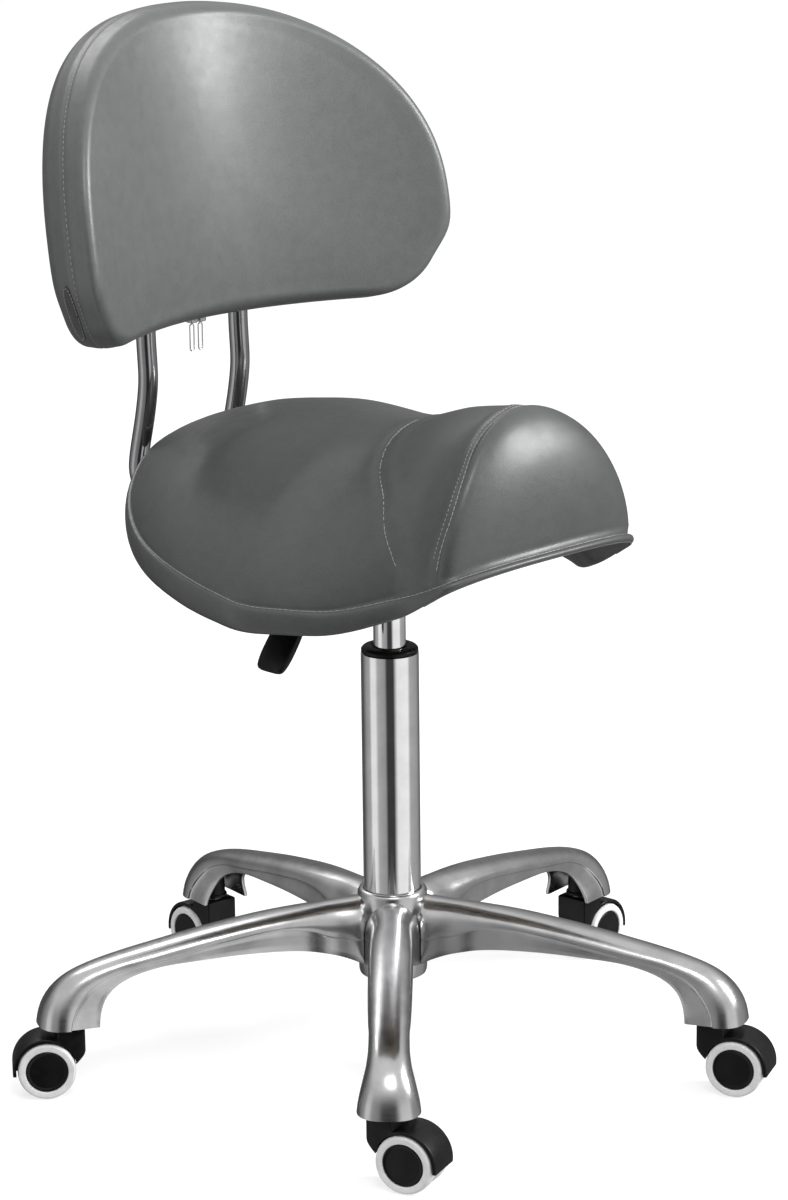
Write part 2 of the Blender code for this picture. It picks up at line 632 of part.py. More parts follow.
def backrest():
    """Cushion with an open pocket, plywood panel, two tubes and their bracket."""
    front = BACKREST_BAND / 2
    crown = BACKREST_CROWN
    rear = BACKREST_REAR_CROWN
    layers = ((0.03, 0, front + crown), (0.35, 0, front + 0.90 * crown),
              (0.66, 0, front + 0.62 * crown), (0.88, 0, front + 0.25 * crown),
              (1.0, -0.004, front - 0.001), (1.0, 0.0, front - 0.007),
              (1.0, 0.0015, 0.0), (1.0, 0.0, 0.007 - front), (1.0, -0.004, 0.001 - front),
              (0.88, 0, -front - 0.40 * rear), (0.66, 0, -front - 0.75 * rear),
              (0.35, 0, -front - 0.94 * rear), (0.03, 0, -front - rear))
    cushion = add("backrest_cushion", loft("backrest_cushion", panel_rings(layers), 50.0, True),
                  VINYL, seat_axis)
    board_front, board_rear = -0.0030, -0.0125
    board_layers = ((0.03, 0, board_front), (0.5, 0, board_front), (0.75, 0, board_front),
                    (0.75, 0, board_rear), (0.5, 0, board_rear), (0.03, 0, board_rear))
    board = loft("backrest_board", panel_rings(board_layers), 35.0, True)
    add("backrest_board", board, PLYWOOD, seat_axis)

    pocket = []
    middle = (BACKREST_BOTTOM + BACKREST_TOP) / 2
    room_front, room_rear = board_front + POCKET_GAP, board_rear - POCKET_GAP
    for scale, forward in ((0.03, room_front), (0.5, room_front), (0.75, room_front),
                           (0.75, room_rear), (0.5, room_rear), (0.03, room_rear)):
        ring = []
        for x, height in panel_outline(scale, POCKET_GAP):
            if scale == 0.75 and height < middle - 0.075:
                height = BACKREST_BOTTOM - 0.030
            ring.append(panel_point(x, height, forward))
        pocket.append(ring)
    shape(cushion, "DIFFERENCE", loft("board_pocket", pocket, 35.0, True))
    for side, x in (("left", TUBE_SPREAD), ("right", -TUBE_SPREAD)):
        path = tube_path(x)
        add(f"backrest_tube_{side}", pipe("backrest_tube", path, BACK_TUBE_RADIUS), CHROME,
            seat_axis)
        room = path[10:]
        room[-1] = (x, room[-1][1] + 0.0003, room[-1][2] + 0.0020)
        shape(cushion, "DIFFERENCE", pipe("tube_room", room, BACK_TUBE_RADIUS + GAP))


def backrest_bracket():
    """A plate between board and mechanism, with a clamp block for each tube."""
    bracket = add("backrest_bracket", box("backrest_bracket", (-0.074, -0.062, PLATE_TOP + GAP),
                                          (0.074, 0.137, BRACKET_TOP), 0.010),
                  BLACK_STEEL, seat_axis)
    for x in (-TUBE_SPREAD, TUBE_SPREAD):
        shape(bracket, "UNION", box("clamp_block", (x - 0.0130, 0.066, BACK_TUBE_RUN - 0.0125),
                                    (x + 0.0130, 0.136, PLATE_TOP + 0.0015), 0.004))
        shape(bracket, "DIFFERENCE", shifted(drum("tube_socket", BACK_TUBE_RADIUS + GAP, 0.0730,
                                                  0.1500, 16, "Y"), (x, 0, BACK_TUBE_RUN)))
    for x, y in bolt_places():
        shape(bracket, "DIFFERENCE", shifted(drum("bracket_hole", 0.0043, 0.480, 0.500, 16),
                                             (x, y, 0)))


def zipper_pulls():
    """Two pull tabs that hang from the sliders at the backrest's rear bottom edge."""
    outline = []
    for step in range(12):
        angle = math.tau * step / 12
        end = -0.0020 if math.sin(angle) > 0.001 else -0.0225
        outline.append((0.0023 * math.cos(angle), end + 0.0023 * math.sin(angle)))
    tab = plate("zipper_pull", outline, 0.0014)
    tab.transform(Matrix.Rotation(math.radians(90.0), 4, "X"))
    for side, x in (("left", 0.0050), ("right", -0.0050)):
        hinge = empty(f"zipper_pull_{side}_axis", (x, 0.2370, 0.6215), seat_axis)
        add(f"zipper_pull_{side}", tab, CHROME, hinge)


# ---------------------------------------------------------------- casters
def caster_meshes():
    """The meshes that the five casters share, about the stem's axis with +X as the trail."""
    stem = turned("caster_stem", ((0.0, 0.0925), (0.0055, 0.0915), (0.0055, 0.0637), (0.0090, 0.0637), (0.0090, 0.0620),
                                  (0.0040, 0.0620), (0.0040, 0.0480), (0.0, 0.0480)), 12)
    axle = shifted(drum("caster_axle", 0.0030, -0.0150, 0.0150, 10, "Y"),
                   (CASTER_TRAIL, 0, WHEEL_RADIUS))
    outer = WHEEL_INNER + WHEEL_WIDTH
    core = turned("wheel_core", ((0.0, outer - 0.0004), (HUB_DISC_RADIUS - GAP, outer - 0.0012),
                                 (HUB_DISC_RADIUS - GAP, WHEEL_INNER),
                                 (0.0033, WHEEL_INNER), (0.0033, 0.0156), (0.0, 0.0156)), 20)
    tread = turned("wheel_tread", ((0.0232, outer), (WHEEL_RADIUS, outer - 0.0022),
                                   (WHEEL_RADIUS, WHEEL_INNER + 0.0016),
                                   (HUB_DISC_RADIUS, WHEEL_INNER),
                                   (HUB_DISC_RADIUS, outer - 0.0006)), 20)
    return stem, axle, core, tread


def hood(name, parent):
    """The moulded fork: fender over both wheels, a web between them and the stem's neck."""
    centre = (CASTER_TRAIL, 0, WHEEL_RADIUS)
    fender = shifted(drum("caster_hood", HOOD_RADIUS, -HOOD_HALF_WIDTH, HOOD_HALF_WIDTH, 24,
                          "Y"), centre)
    body = add(name, fender, BLACK_NYLON, parent)
    shape(body, "UNION", box("neck", (-NECK_FRONT, -0.0150, 0.0310),
                             (CASTER_TRAIL, 0.0150, 0.0616), 0.0060))
    for low, high in ((0.0028, 0.0300), (-0.0300, -0.0028)):
        shape(body, "DIFFERENCE", shifted(drum("wheel_room", WHEEL_RADIUS + 0.0010, low, high,
                                               20, "Y"), centre))
    shape(body, "DIFFERENCE", box("open_bottom", (-0.030, -0.030, -0.010),
                                  (0.080, 0.030, 0.0220)))
    shape(body, "DIFFERENCE", box("open_front", (-0.030, -0.030, 0.0100),
                                  (CASTER_TRAIL, 0.030, 0.0310)))
    shape(body, "UNION", shifted(drum("axle_web", 0.0150, -0.0028, 0.0028, 16, "Y"), centre))
    shape(body, "DIFFERENCE", shifted(drum("axle_bore", 0.0033, -0.010, 0.010, 12, "Y"),
                                      centre))
    shape(body, "DIFFERENCE", drum("stem_room", 0.0043, 0.0465, 0.0700, 12))


def casters():
    """Five casters: stem, hood, axle, and two wheels of core and tread each."""
    stem, axle, core, tread = caster_meshes()
    for number, (arm, heading) in enumerate(zip(ARM_ANGLES, CASTER_HEADINGS), start=1):
        place = (STEM_CIRCLE * math.cos(math.radians(arm)),
                 STEM_CIRCLE * math.sin(math.radians(arm)), 0.0)
        add(f"caster_{number}_stem", stem, STEEL, column, place)
        swivel = empty(f"caster_{number}_axis", place, column)
        swivel.rotation_euler.z = math.radians(heading)
        hood(f"caster_{number}_hood", swivel)
        add(f"caster_{number}_axle", axle, STEEL, swivel)
        for side, turn in (("left", -90.0), ("right", 90.0)):
            spin = empty(f"caster_{number}_{side}_wheel_axis",
                         (CASTER_TRAIL, 0, WHEEL_RADIUS), swivel)
            spin.rotation_euler.x = math.radians(turn)
            add(f"caster_{number}_core_{side}", core, BLACK_NYLON, spin)
            add(f"caster_{number}_tread_{side}", tread, TREAD, spin)


base_casting()
gas_column()
seat_mechanism()
mechanism_bolts()
height_lever()
seat_board()
seat_cushion()
backrest()
backrest_bracket()
zipper_pulls()
casters()
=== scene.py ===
"""Looks of the saddle stool: every visible part in detail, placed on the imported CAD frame."""
import math

import bmesh
import bpy
import numpy as np
from mathutils import Matrix, Vector
from mathutils.bvhtree import BVHTree


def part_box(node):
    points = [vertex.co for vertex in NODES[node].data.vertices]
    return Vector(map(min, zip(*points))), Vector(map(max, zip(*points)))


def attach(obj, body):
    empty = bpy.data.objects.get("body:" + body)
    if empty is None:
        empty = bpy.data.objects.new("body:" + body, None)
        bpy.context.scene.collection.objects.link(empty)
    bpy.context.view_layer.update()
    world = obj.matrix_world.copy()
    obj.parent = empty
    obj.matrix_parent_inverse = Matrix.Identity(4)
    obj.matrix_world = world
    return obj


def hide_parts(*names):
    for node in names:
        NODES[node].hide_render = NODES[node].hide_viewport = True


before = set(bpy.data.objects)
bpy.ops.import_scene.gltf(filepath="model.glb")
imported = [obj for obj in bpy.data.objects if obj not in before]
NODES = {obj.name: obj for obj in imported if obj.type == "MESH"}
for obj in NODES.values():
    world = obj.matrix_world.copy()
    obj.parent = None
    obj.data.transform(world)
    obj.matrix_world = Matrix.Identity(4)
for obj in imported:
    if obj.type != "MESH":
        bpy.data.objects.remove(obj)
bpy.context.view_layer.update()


def centre(node):
    """The middle of a CAD node's box."""
    low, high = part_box(node)
    return (Vector(low) + Vector(high)) / 2


COLUMN = centre("column_outer_tube")
COLUMN.z = 0.0
CASTERS = range(1, 6)


# ---------------------------------------------------------------- curves and numbers
def smooth(position, table):
    """A smooth curve through (position, value) points that never overshoots them."""
    xs = [row[0] for row in table]
    ys = [row[1] for row in table]
    position = min(max(position, xs[0]), xs[-1])
    slopes = [(ys[i + 1] - ys[i]) / (xs[i + 1] - xs[i]) for i in range(len(xs) - 1)]
    tangents = [slopes[0]]
    for before, after in zip(slopes, slopes[1:]):
        same_way = before * after > 0.0
        tangents.append(2 * before * after / (before + after) if same_way else 0.0)
    tangents.append(slopes[-1])
    span = next(i for i in range(len(slopes)) if position <= xs[i + 1])
    width = xs[span + 1] - xs[span]
    u = (position - xs[span]) / width
    return ((2 * u**3 - 3 * u**2 + 1) * ys[span] + (u**3 - 2 * u**2 + u) * width * tangents[span]
            + (3 * u**2 - 2 * u**3) * ys[span + 1] + (u**3 - u**2) * width * tangents[span + 1])


def spline(points, count):
    """Points evenly spaced along a natural cubic spline through the given points."""
    points = np.asarray(points, dtype=float)
    steps = np.linalg.norm(np.diff(points, axis=0), axis=1)
    knots = np.concatenate([[0.0], np.cumsum(steps)])
    size = len(points)
    matrix = np.zeros((size, size))
    right = np.zeros_like(points)
    matrix[0, 0] = matrix[-1, -1] = 1.0
    for i in range(1, size - 1):
        before, after = steps[i - 1], steps[i]
        matrix[i, i - 1:i + 2] = before, 2 * (before + after), after
        right[i] = 6 * ((points[i + 1] - points[i]) / after - (points[i] - points[i - 1]) / before)
    bends = np.linalg.solve(matrix, right)
    fine = np.linspace(0.0, knots[-1], count * 8)
    made = []
    for where in fine:
        i = min(int(np.searchsorted(knots, where, side="right")) - 1, size - 2)
        h = steps[i]
        a = (knots[i + 1] - where) / h
        b = (where - knots[i]) / h
        made.append(a * points[i] + b * points[i + 1]
                    + ((a**3 - a) * bends[i] + (b**3 - b) * bends[i + 1]) * h * h / 6)
    made = np.array(made)
    length = np.concatenate([[0.0], np.cumsum(np.linalg.norm(np.diff(made, axis=0), axis=1))])
    even = np.linspace(0.0, length[-1], count)
    return np.stack([np.interp(even, length, made[:, k]) for k in range(points.shape[1])], axis=1)


def power(value, exponent):
    """A signed power, for the rounded corners of superellipses."""
    return math.copysign(abs(value) ** exponent, value)


def arc(radius, first, last, steps, middle=(0.0, 0.0)):
    """Points along an arc, from one angle to another in degrees."""
    angles = [math.radians(first + (last - first) * step / steps) for step in range(steps + 1)]
    return [(middle[0] + radius * math.cos(angle), middle[1] + radius * math.sin(angle))
            for angle in angles]


def circle(radius, count=48):
    """Points evenly round a circle."""
    angles = [math.tau * k / count for k in range(count)]
    return [(radius * math.cos(angle), radius * math.sin(angle)) for angle in angles]


def mirrored(half):
    """A whole outline, from the half that starts and ends on the middle line."""
    return half + [(-x, other) for x, other in reversed(half[1:-1])]


def scaled(loop, middle, scale=1.0, grow=0.0):
    """An outline scaled and grown about (0, middle)."""
    made = []
    for x, other in loop:
        reach = math.hypot(x, other - middle)
        factor = scale * (1.0 + grow / (scale * reach))
        made.append((x * factor, middle + (other - middle) * factor))
    return made


def new_object(name, data):
    """An object of the data, linked to the scene."""
    made = bpy.data.objects.new(name, data)
    bpy.context.scene.collection.objects.link(made)
    return made


# ---------------------------------------------------------------- meshes
def finished(bm, name, sharp=35.0):
    """A smooth-shaded mesh with outward faces, from a bmesh."""
    bmesh.ops.recalc_face_normals(bm, faces=bm.faces)
    mesh = bpy.data.meshes.new(name)
    bm.to_mesh(mesh)
    bm.free()
    mesh.shade_smooth()
    if sharp:
        mesh.set_sharp_from_angle(angle=math.radians(sharp))
    return mesh


def skin_into(bm, rows, ends=None, loop=False):
    """Add a tube of equal closed rings to a bmesh. Ends are None, "fan", "centre", "strip"
    or "fold"."""
    made = [[bm.verts.new(point) for point in ring] for ring in rows]
    count = len(made[0])
    pairs = list(zip(made, made[1:]))
    if loop:
        pairs.append((made[-1], made[0]))
    for row, following in pairs:
        for k in range(count):
            after = (k + 1) % count
            bm.faces.new((row[k], row[after], following[after], following[k]))
    if ends is None or loop:
        return made
    for row in (made[0], made[-1]):
        if ends == "centre":
            middle = bm.verts.new(sum((vertex.co for vertex in row), Vector()) / count)
            for k in range(count):
                bm.faces.new((row[k], row[(k + 1) % count], middle))
            continue
        if ends == "fan":
            bm.faces.new(row)
            continue
        for k in range(count // 2 - (1 if ends == "strip" else 0)):
            if ends == "strip":
                corners = (row[k], row[k + 1], row[count - 2 - k], row[count - 1 - k])
            else:
                corners = (row[k], row[k + 1], row[count - k - 1], row[-k])
            corners = list(dict.fromkeys(corners))
            if len(corners) > 2:
                bm.faces.new(corners)
    return made


def skinned(name, rows, ends=None, sharp=35.0):
    """A mesh of equal closed rings."""
    bm = bmesh.new()
    skin_into(bm, rows, ends)
    return finished(bm, name, sharp)


def turned_into(bm, profile, segments=96, closed=True):
    """Add a turned solid to a bmesh. A profile that touches the axis is closed there."""
    rings = []
    for radius, height in profile:
        rings.append([(x, y, height) for x, y in circle(radius, segments)])
    skin_into(bm, rings, None, loop=closed)


def turned(name, profile, segments=96, sharp=35.0):
    """A solid turned about Z through (radius, height) points, as a closed ring or capped."""
    bm = bmesh.new()
    on_axis = profile[0][0] < 1e-6
    shifted = [(max(radius, 1e-5), height) for radius, height in profile]
    turned_into(bm, shifted, segments, closed=not on_axis)
    if on_axis:
        bmesh.ops.remove_doubles(bm, verts=bm.verts, dist=3e-5)
    return finished(bm, name, sharp)


def rounded(profile, radius, steps=4):
    """The same closed profile with its corners rounded by up to radius."""
    made = []
    count = len(profile)
    for k in range(count):
        here = Vector(profile[k])
        before = Vector(profile[k - 1]) - here
        after = Vector(profile[(k + 1) % count]) - here
        cut = min(radius, before.length * 0.45, after.length * 0.45)
        start = here + before.normalized() * cut
        end = here + after.normalized() * cut
        for step in range(steps + 1):
            t = step / steps
            made.append(tuple(start.lerp(here, t).lerp(here.lerp(end, t), t)))
    return made


def tube_rings(points, radius, sides=32, widths=None):
    """Rings round a path, without twist. widths scales the radius at each point."""
    points = [Vector(point) for point in points]
    rings = []
    side = None
    for k, point in enumerate(points):
        ahead = points[min(k + 1, len(points) - 1)] - points[max(k - 1, 0)]
        ahead.normalize()
        if side is None:
            side = ahead.orthogonal().normalized()
        side = (side - ahead * side.dot(ahead)).normalized()
        other = ahead.cross(side)
        size = radius * (widths[k] if widths is not None else 1.0)
        rings.append([point + side * a + other * b for a, b in circle(size, sides)])
    return rings


def capsule_into(bm, start, end, radius, sides=6):
    """Add one stitch-like capsule to a bmesh."""
    start, end = Vector(start), Vector(end)
    ahead = (end - start).normalized()
    points = [start, start + ahead * radius * 0.5, end - ahead * radius * 0.5, end]
    rings = tube_rings(points, radius, sides, (0.45, 1.0, 1.0, 0.45))
    skin_into(bm, rings, "fan")


# ---------------------------------------------------------------- materials
def set_stops(ramp, stops):
    """Give a colour ramp its (position, grey or colour) stops."""
    while len(ramp.elements) < len(stops):
        ramp.elements.new(0.5)
    for element, (position, colour) in zip(ramp.elements, stops):
        element.position = position
        colour = (colour, colour, colour) if isinstance(colour, float) else colour
        element.color = (*colour, 1.0)


MIX_BY, MIX_FIRST, MIX_SECOND = 0, 6, 7    # a mix node's sockets when it mixes colours
MIXED = 2


def add_node(tree, kind, inputs, **settings):
    """A new node with its inputs, which are values or other nodes' outputs."""
    node = tree.nodes.new(kind)
    for key, value in settings.items():
        setattr(node, key, value)
    for key, value in inputs.items():
        if isinstance(value, bpy.types.NodeSocket):
            tree.links.new(value, node.inputs[key])
        else:
            node.inputs[key].default_value = value
    return node


class Finish:
    """A Principled material with helpers for patterns in the object's own space."""

    def __init__(self, name, colour, roughness, metallic=0.0, **sockets):
        self.material = bpy.data.materials.new(name)
        self.material.use_nodes = True
        self.tree = self.material.node_tree
        self.shader = self.tree.nodes["Principled BSDF"]
        self.shader.inputs["Base Color"].default_value = (*colour, 1.0)
        self.shader.inputs["Roughness"].default_value = roughness
        self.shader.inputs["Metallic"].default_value = metallic
        for socket, value in sockets.items():
            self.shader.inputs[socket.replace("_", " ")].default_value = value
        self.space = self.tree.nodes.new("ShaderNodeTexCoord").outputs["Object"]
        self.normal = None

    def stretched(self, scale):
        """The object's coordinates, scaled along each axis."""
        return add_node(self.tree, "ShaderNodeMapping",
                        {"Scale": scale, "Vector": self.space}).outputs["Vector"]

    def noise(self, scale, detail=3.0, rough=0.55, space=None):
        """Cloudy noise, from 0 to 1."""
        return add_node(self.tree, "ShaderNodeTexNoise",
                        {"Scale": scale, "Detail": detail, "Roughness": rough,
                         "Vector": space or self.space}).outputs["Fac"]

    def cells(self, scale, feature="F1"):
        """Voronoi cell distance."""
        return add_node(self.tree, "ShaderNodeTexVoronoi",
                        {"Scale": scale, "Vector": self.space},
                        feature=feature).outputs["Distance"]

    def ramp(self, value, stops):
        """A colour ramp through (position, grey or colour) stops."""
        node = add_node(self.tree, "ShaderNodeValToRGB", {"Fac": value})
        set_stops(node.color_ramp, stops)
        return node.outputs["Color"]

    def between(self, value, low, high, source=(0.0, 1.0)):
        """A value moved from one range to another, clamped."""
        return add_node(self.tree, "ShaderNodeMapRange",
                        {"Value": value, "From Min": source[0], "From Max": source[1],
                         "To Min": low, "To Max": high}).outputs["Result"]

    def mix(self, value, first, second, kind="MIX"):
        """A colour pattern mixed by a value with another pattern, or with a colour."""
        second = (*second, 1.0) if isinstance(second, tuple) else second
        return add_node(self.tree, "ShaderNodeMix",
                        {MIX_BY: value, MIX_FIRST: first, MIX_SECOND: second},
                        data_type="RGBA", blend_type=kind).outputs[MIXED]

    def colour(self, value):
        """Use a colour socket as the base colour."""
        self.tree.links.new(value, self.shader.inputs["Base Color"])

    def tint(self, value, *stops):
        """Colour the base by a pattern, through (position, grey or colour) stops."""
        self.colour(self.ramp(value, stops))

    def rough(self, value, low, high, source=(0.3, 0.7)):
        """Let a pattern vary the roughness."""
        self.tree.links.new(self.between(value, low, high, source),
                            self.shader.inputs["Roughness"])

    def bump(self, value, strength, distance):
        """Add a bump on top of the bumps so far."""
        inputs = {"Strength": strength, "Distance": distance, "Height": value}
        if self.normal is not None:
            inputs["Normal"] = self.normal
        self.normal = add_node(self.tree, "ShaderNodeBump", inputs).outputs["Normal"]
        self.tree.links.new(self.normal, self.shader.inputs["Normal"])


def tones(colour, spread):
    """A darker and a lighter version of a colour."""
    darker = tuple(channel * (1 - spread) for channel in colour)
    lighter = tuple(min(1.0, channel * (1 + spread)) for channel in colour)
    return darker, lighter


def vinyl(name, colour):
    """Upholstery vinyl: pebbled grain with painted shade in its creases, faint mottling, a soft
    sheen.
    """
    made = Finish(name, colour, 0.40, Specular_IOR_Level=0.5, Sheen_Weight=0.04,
                  Sheen_Roughness=0.45, Coat_Weight=0.30, Coat_Roughness=0.26)
    darker, lighter = tones(colour, 0.08)
    mottle = made.noise(90.0, 5.0, 0.6)
    broad = made.ramp(mottle, ((0.30, darker), (0.52, colour), (0.74, lighter)))
    pebbles = made.cells(760.0, "DISTANCE_TO_EDGE")
    # Painted shade: the colour darkens towards each pebble's edge, where the grain's creases lie.
    crease_shade = made.ramp(pebbles, ((0.0, 0.62), (0.16, 1.0)))
    made.colour(made.mix(0.55, broad, crease_shade, "MULTIPLY"))
    made.rough(made.noise(95.0, 4.0), 0.32, 0.46)
    made.bump(made.noise(11.0, 1.0), 0.12, 0.0016)
    made.bump(made.noise(260.0, 3.0), 0.22, 0.00022)
    made.bump(made.between(pebbles, 0.0, 1.0, (0.0, 0.20)), 0.42, 0.00010)
    return made.material


def aluminium():
    """Hand-polished aluminium: bright, with fine polishing lines and slightly cloudy spots."""
    made = Finish("polished_aluminium", (0.80, 0.80, 0.805), 0.20, 1.0)
    cloud = made.noise(26.0, 4.0)
    made.tint(cloud, (0.28, (0.42, 0.42, 0.425)), (0.55, (0.54, 0.54, 0.545)),
              (0.80, (0.62, 0.62, 0.625)))
    lines = made.noise(420.0, 2.0, 0.5, made.stretched((0.25, 0.25, 1.6)))
    made.rough(lines, 0.21, 0.27)
    made.bump(made.noise(70.0, 2.0), 0.10, 0.0004)
    made.bump(lines, 0.02, 0.00006)
    return made.material


def chrome(name="chrome", colour=(0.80, 0.80, 0.81)):
    """Chrome plating: mirror bright with a faint haze and tiny ripples."""
    made = Finish(name, colour, 0.06, 1.0)
    darker, lighter = tones(colour, 0.06)
    haze = made.noise(55.0, 3.0)
    made.tint(haze, (0.30, darker), (0.70, lighter))
    made.rough(haze, 0.045, 0.11)
    made.bump(made.noise(30.0, 1.0), 0.06, 0.0005)
    return made.material


def zinc():
    """Zinc-plated steel: grey, with crystal blotches and fine scratches."""
    made = Finish("zinc_steel", (0.55, 0.55, 0.56), 0.34, 1.0)
    blotch = made.cells(420.0)
    made.tint(blotch, (0.0, (0.44, 0.44, 0.45)), (0.6, (0.56, 0.56, 0.565)),
              (1.0, (0.64, 0.64, 0.63)))
    made.rough(made.noise(300.0, 3.0), 0.26, 0.44)
    made.bump(made.noise(700.0, 2.0), 0.15, 0.00006)
    return made.material


def powder_steel():
    """Black powder coating: orange-peel texture and a satin gloss."""
    made = Finish("black_steel", (0.022, 0.022, 0.023), 0.42)
    made.tint(made.noise(45.0, 4.0), (0.3, (0.016, 0.016, 0.017)), (0.7, (0.030, 0.030, 0.031)))
    made.rough(made.noise(120.0, 3.0), 0.34, 0.50)
    made.bump(made.noise(620.0, 2.0), 0.25, 0.00012)
    return made.material


def nylon():
    """Moulded black nylon: fine spark texture and soft highlights."""
    made = Finish("black_nylon", (0.005, 0.005, 0.005), 0.36, Specular_IOR_Level=0.22)
    made.tint(made.noise(60.0, 4.0), (0.3, 0.003), (0.7, 0.007))
    made.rough(made.noise(180.0, 3.0), 0.28, 0.44)
    made.bump(made.noise(1500.0, 2.0), 0.16, 0.00005)
    return made.material


def tyre():
    """Pale polyurethane tyre: slightly uneven, with dusty patches."""
    made = Finish("light_tread", (0.80, 0.80, 0.795), 0.42)
    dust = made.noise(130.0, 5.0, 0.65)
    made.tint(dust, (0.30, (0.80, 0.80, 0.79)), (0.52, (0.90, 0.90, 0.895)), (0.75, 0.95))
    made.rough(dust, 0.34, 0.52)
    made.bump(made.noise(900.0, 3.0), 0.20, 0.00006)
    return made.material


def plywood():
    """Birch plywood: long grain with darker rings and fine pores."""
    made = Finish("plywood", (0.55, 0.38, 0.22), 0.58)
    along = made.stretched((6.0, 60.0, 60.0))
    rings = made.noise(3.2, 5.0, 0.6, along)
    grain = made.ramp(rings, ((0.25, (0.40, 0.25, 0.13)), (0.48, (0.58, 0.41, 0.24)),
                              (0.75, (0.68, 0.51, 0.32))))
    pores = made.noise(260.0, 2.0, 0.5, made.stretched((0.12, 1.0, 1.0)))
    made.colour(made.mix(made.between(pores, 0.0, 0.35, (0.55, 0.75)), grain,
                         (0.30, 0.18, 0.09)))
    made.rough(pores, 0.50, 0.70)
    made.bump(pores, 0.30, 0.0002)
    return made.material


def thread():
    """Waxed sewing thread: pale grey with a twisted rope bump."""
    made = Finish("thread", (0.40, 0.405, 0.40), 0.6)
    twist = made.noise(2400.0, 1.0)
    made.tint(twist, (0.3, (0.34, 0.345, 0.34)), (0.7, (0.50, 0.505, 0.50)))
    made.bump(twist, 0.5, 0.0001)
    return made.material


def webbing():
    """Dark bonded fabric, for the tab and the zip's tape."""
    made = Finish("dark_fabric", (0.030, 0.030, 0.032), 0.75, Sheen_Weight=0.3)
    weave = made.cells(1100.0)
    made.tint(weave, (0.0, (0.045, 0.045, 0.047)), (0.8, (0.018, 0.018, 0.02)))
    made.bump(weave, 0.6, 0.00018)
    return made.material


ALUMINIUM = aluminium()
CHROME = chrome()
# Painted shade: a darker copy of the chrome for the backrest tubes, for the dark reflections along
# them.
TUBE_CHROME_PAINTED_DARK = chrome("tube_chrome_painted_dark", (0.36, 0.36, 0.37))
ZINC = zinc()
BLACK_STEEL = powder_steel()
NYLON = nylon()
TYRE = tyre()
VINYL = vinyl("grey_vinyl", (0.074, 0.077, 0.076))
# Painted light: the backrest's vinyl is the seat's vinyl made lighter, for the light that falls on
# its front.
BACK_VINYL_PAINTED_LIGHTER = vinyl("grey_vinyl_back_painted_lighter", (0.125, 0.129, 0.128))
PLYWOOD = plywood()
THREAD = thread()
WELT = vinyl("grey_welt", (0.16, 0.163, 0.162))
WEBBING = webbing()


def piece(mesh, finish, body, replaces=()):
    """Put a mesh in the scene on its CAD body."""
    made = new_object(mesh.name, mesh)
    mesh.materials.append(finish)
    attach(made, body)
    if replaces:
        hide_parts(*replaces)
    return made


def moved(mesh, offset, turn=0.0):
    """Turn a mesh about Z and move it, in degrees and metres."""
    mesh.transform(Matrix.Translation(offset) @ Matrix.Rotation(math.radians(turn), 4, "Z"))
    return mesh


# ---------------------------------------------------------------- base casting
ARM_SPINE = (   # crest radius and height, underside radius and height
    (0.026, 0.1480, 0.026, 0.0880), (0.040, 0.1470, 0.040, 0.0960),
    (0.055, 0.1462, 0.055, 0.1020), (0.085, 0.1442, 0.085, 0.1085),
    (0.118, 0.1412, 0.118, 0.1110), (0.150, 0.1370, 0.150, 0.1115),
    (0.185, 0.1315, 0.183, 0.1105), (0.220, 0.1250, 0.212, 0.1085),
    (0.250, 0.1190, 0.234, 0.1035), (0.275, 0.1125, 0.250, 0.0965),
    (0.293, 0.1050, 0.2600, 0.0880), (0.305, 0.0955, 0.2650, 0.0800),
    (0.3130, 0.0840, 0.2675, 0.0730), (0.3170, 0.0730, 0.2685, 0.0680),
    (0.3185, 0.0641, 0.2690, 0.0641))
ARM_HALF_WIDTH = ((0.026, 0.0178), (0.034, 0.0238), (0.045, 0.0228), (0.058, 0.0209),
                  (0.085, 0.0196), (0.118, 0.0192), (0.185, 0.0186), (0.234, 0.0176),
                  (0.254, 0.0168), (0.275, 0.0170), (0.293, 0.0184), (0.305, 0.0210),
                  (0.3130, 0.0236), (0.3170, 0.0254), (0.3185, 0.0262))
LIP_DEPTH = ((0.026, 0.034), (0.062, 0.026), (0.078, 0.0185), (0.100, 0.0135), (0.130, 0.0118),
             (0.220, 0.0118), (0.250, 0.0128), (0.275, 0.0160), (0.293, 0.0195),
             (0.305, 0.0225), (0.3185, 0.0240))
RECESS = ((0.026, 0.0), (0.066, 0.0), (0.082, 0.0018), (0.110, 0.0024), (0.3185, 0.0024))
ARM_WALL = 0.0034


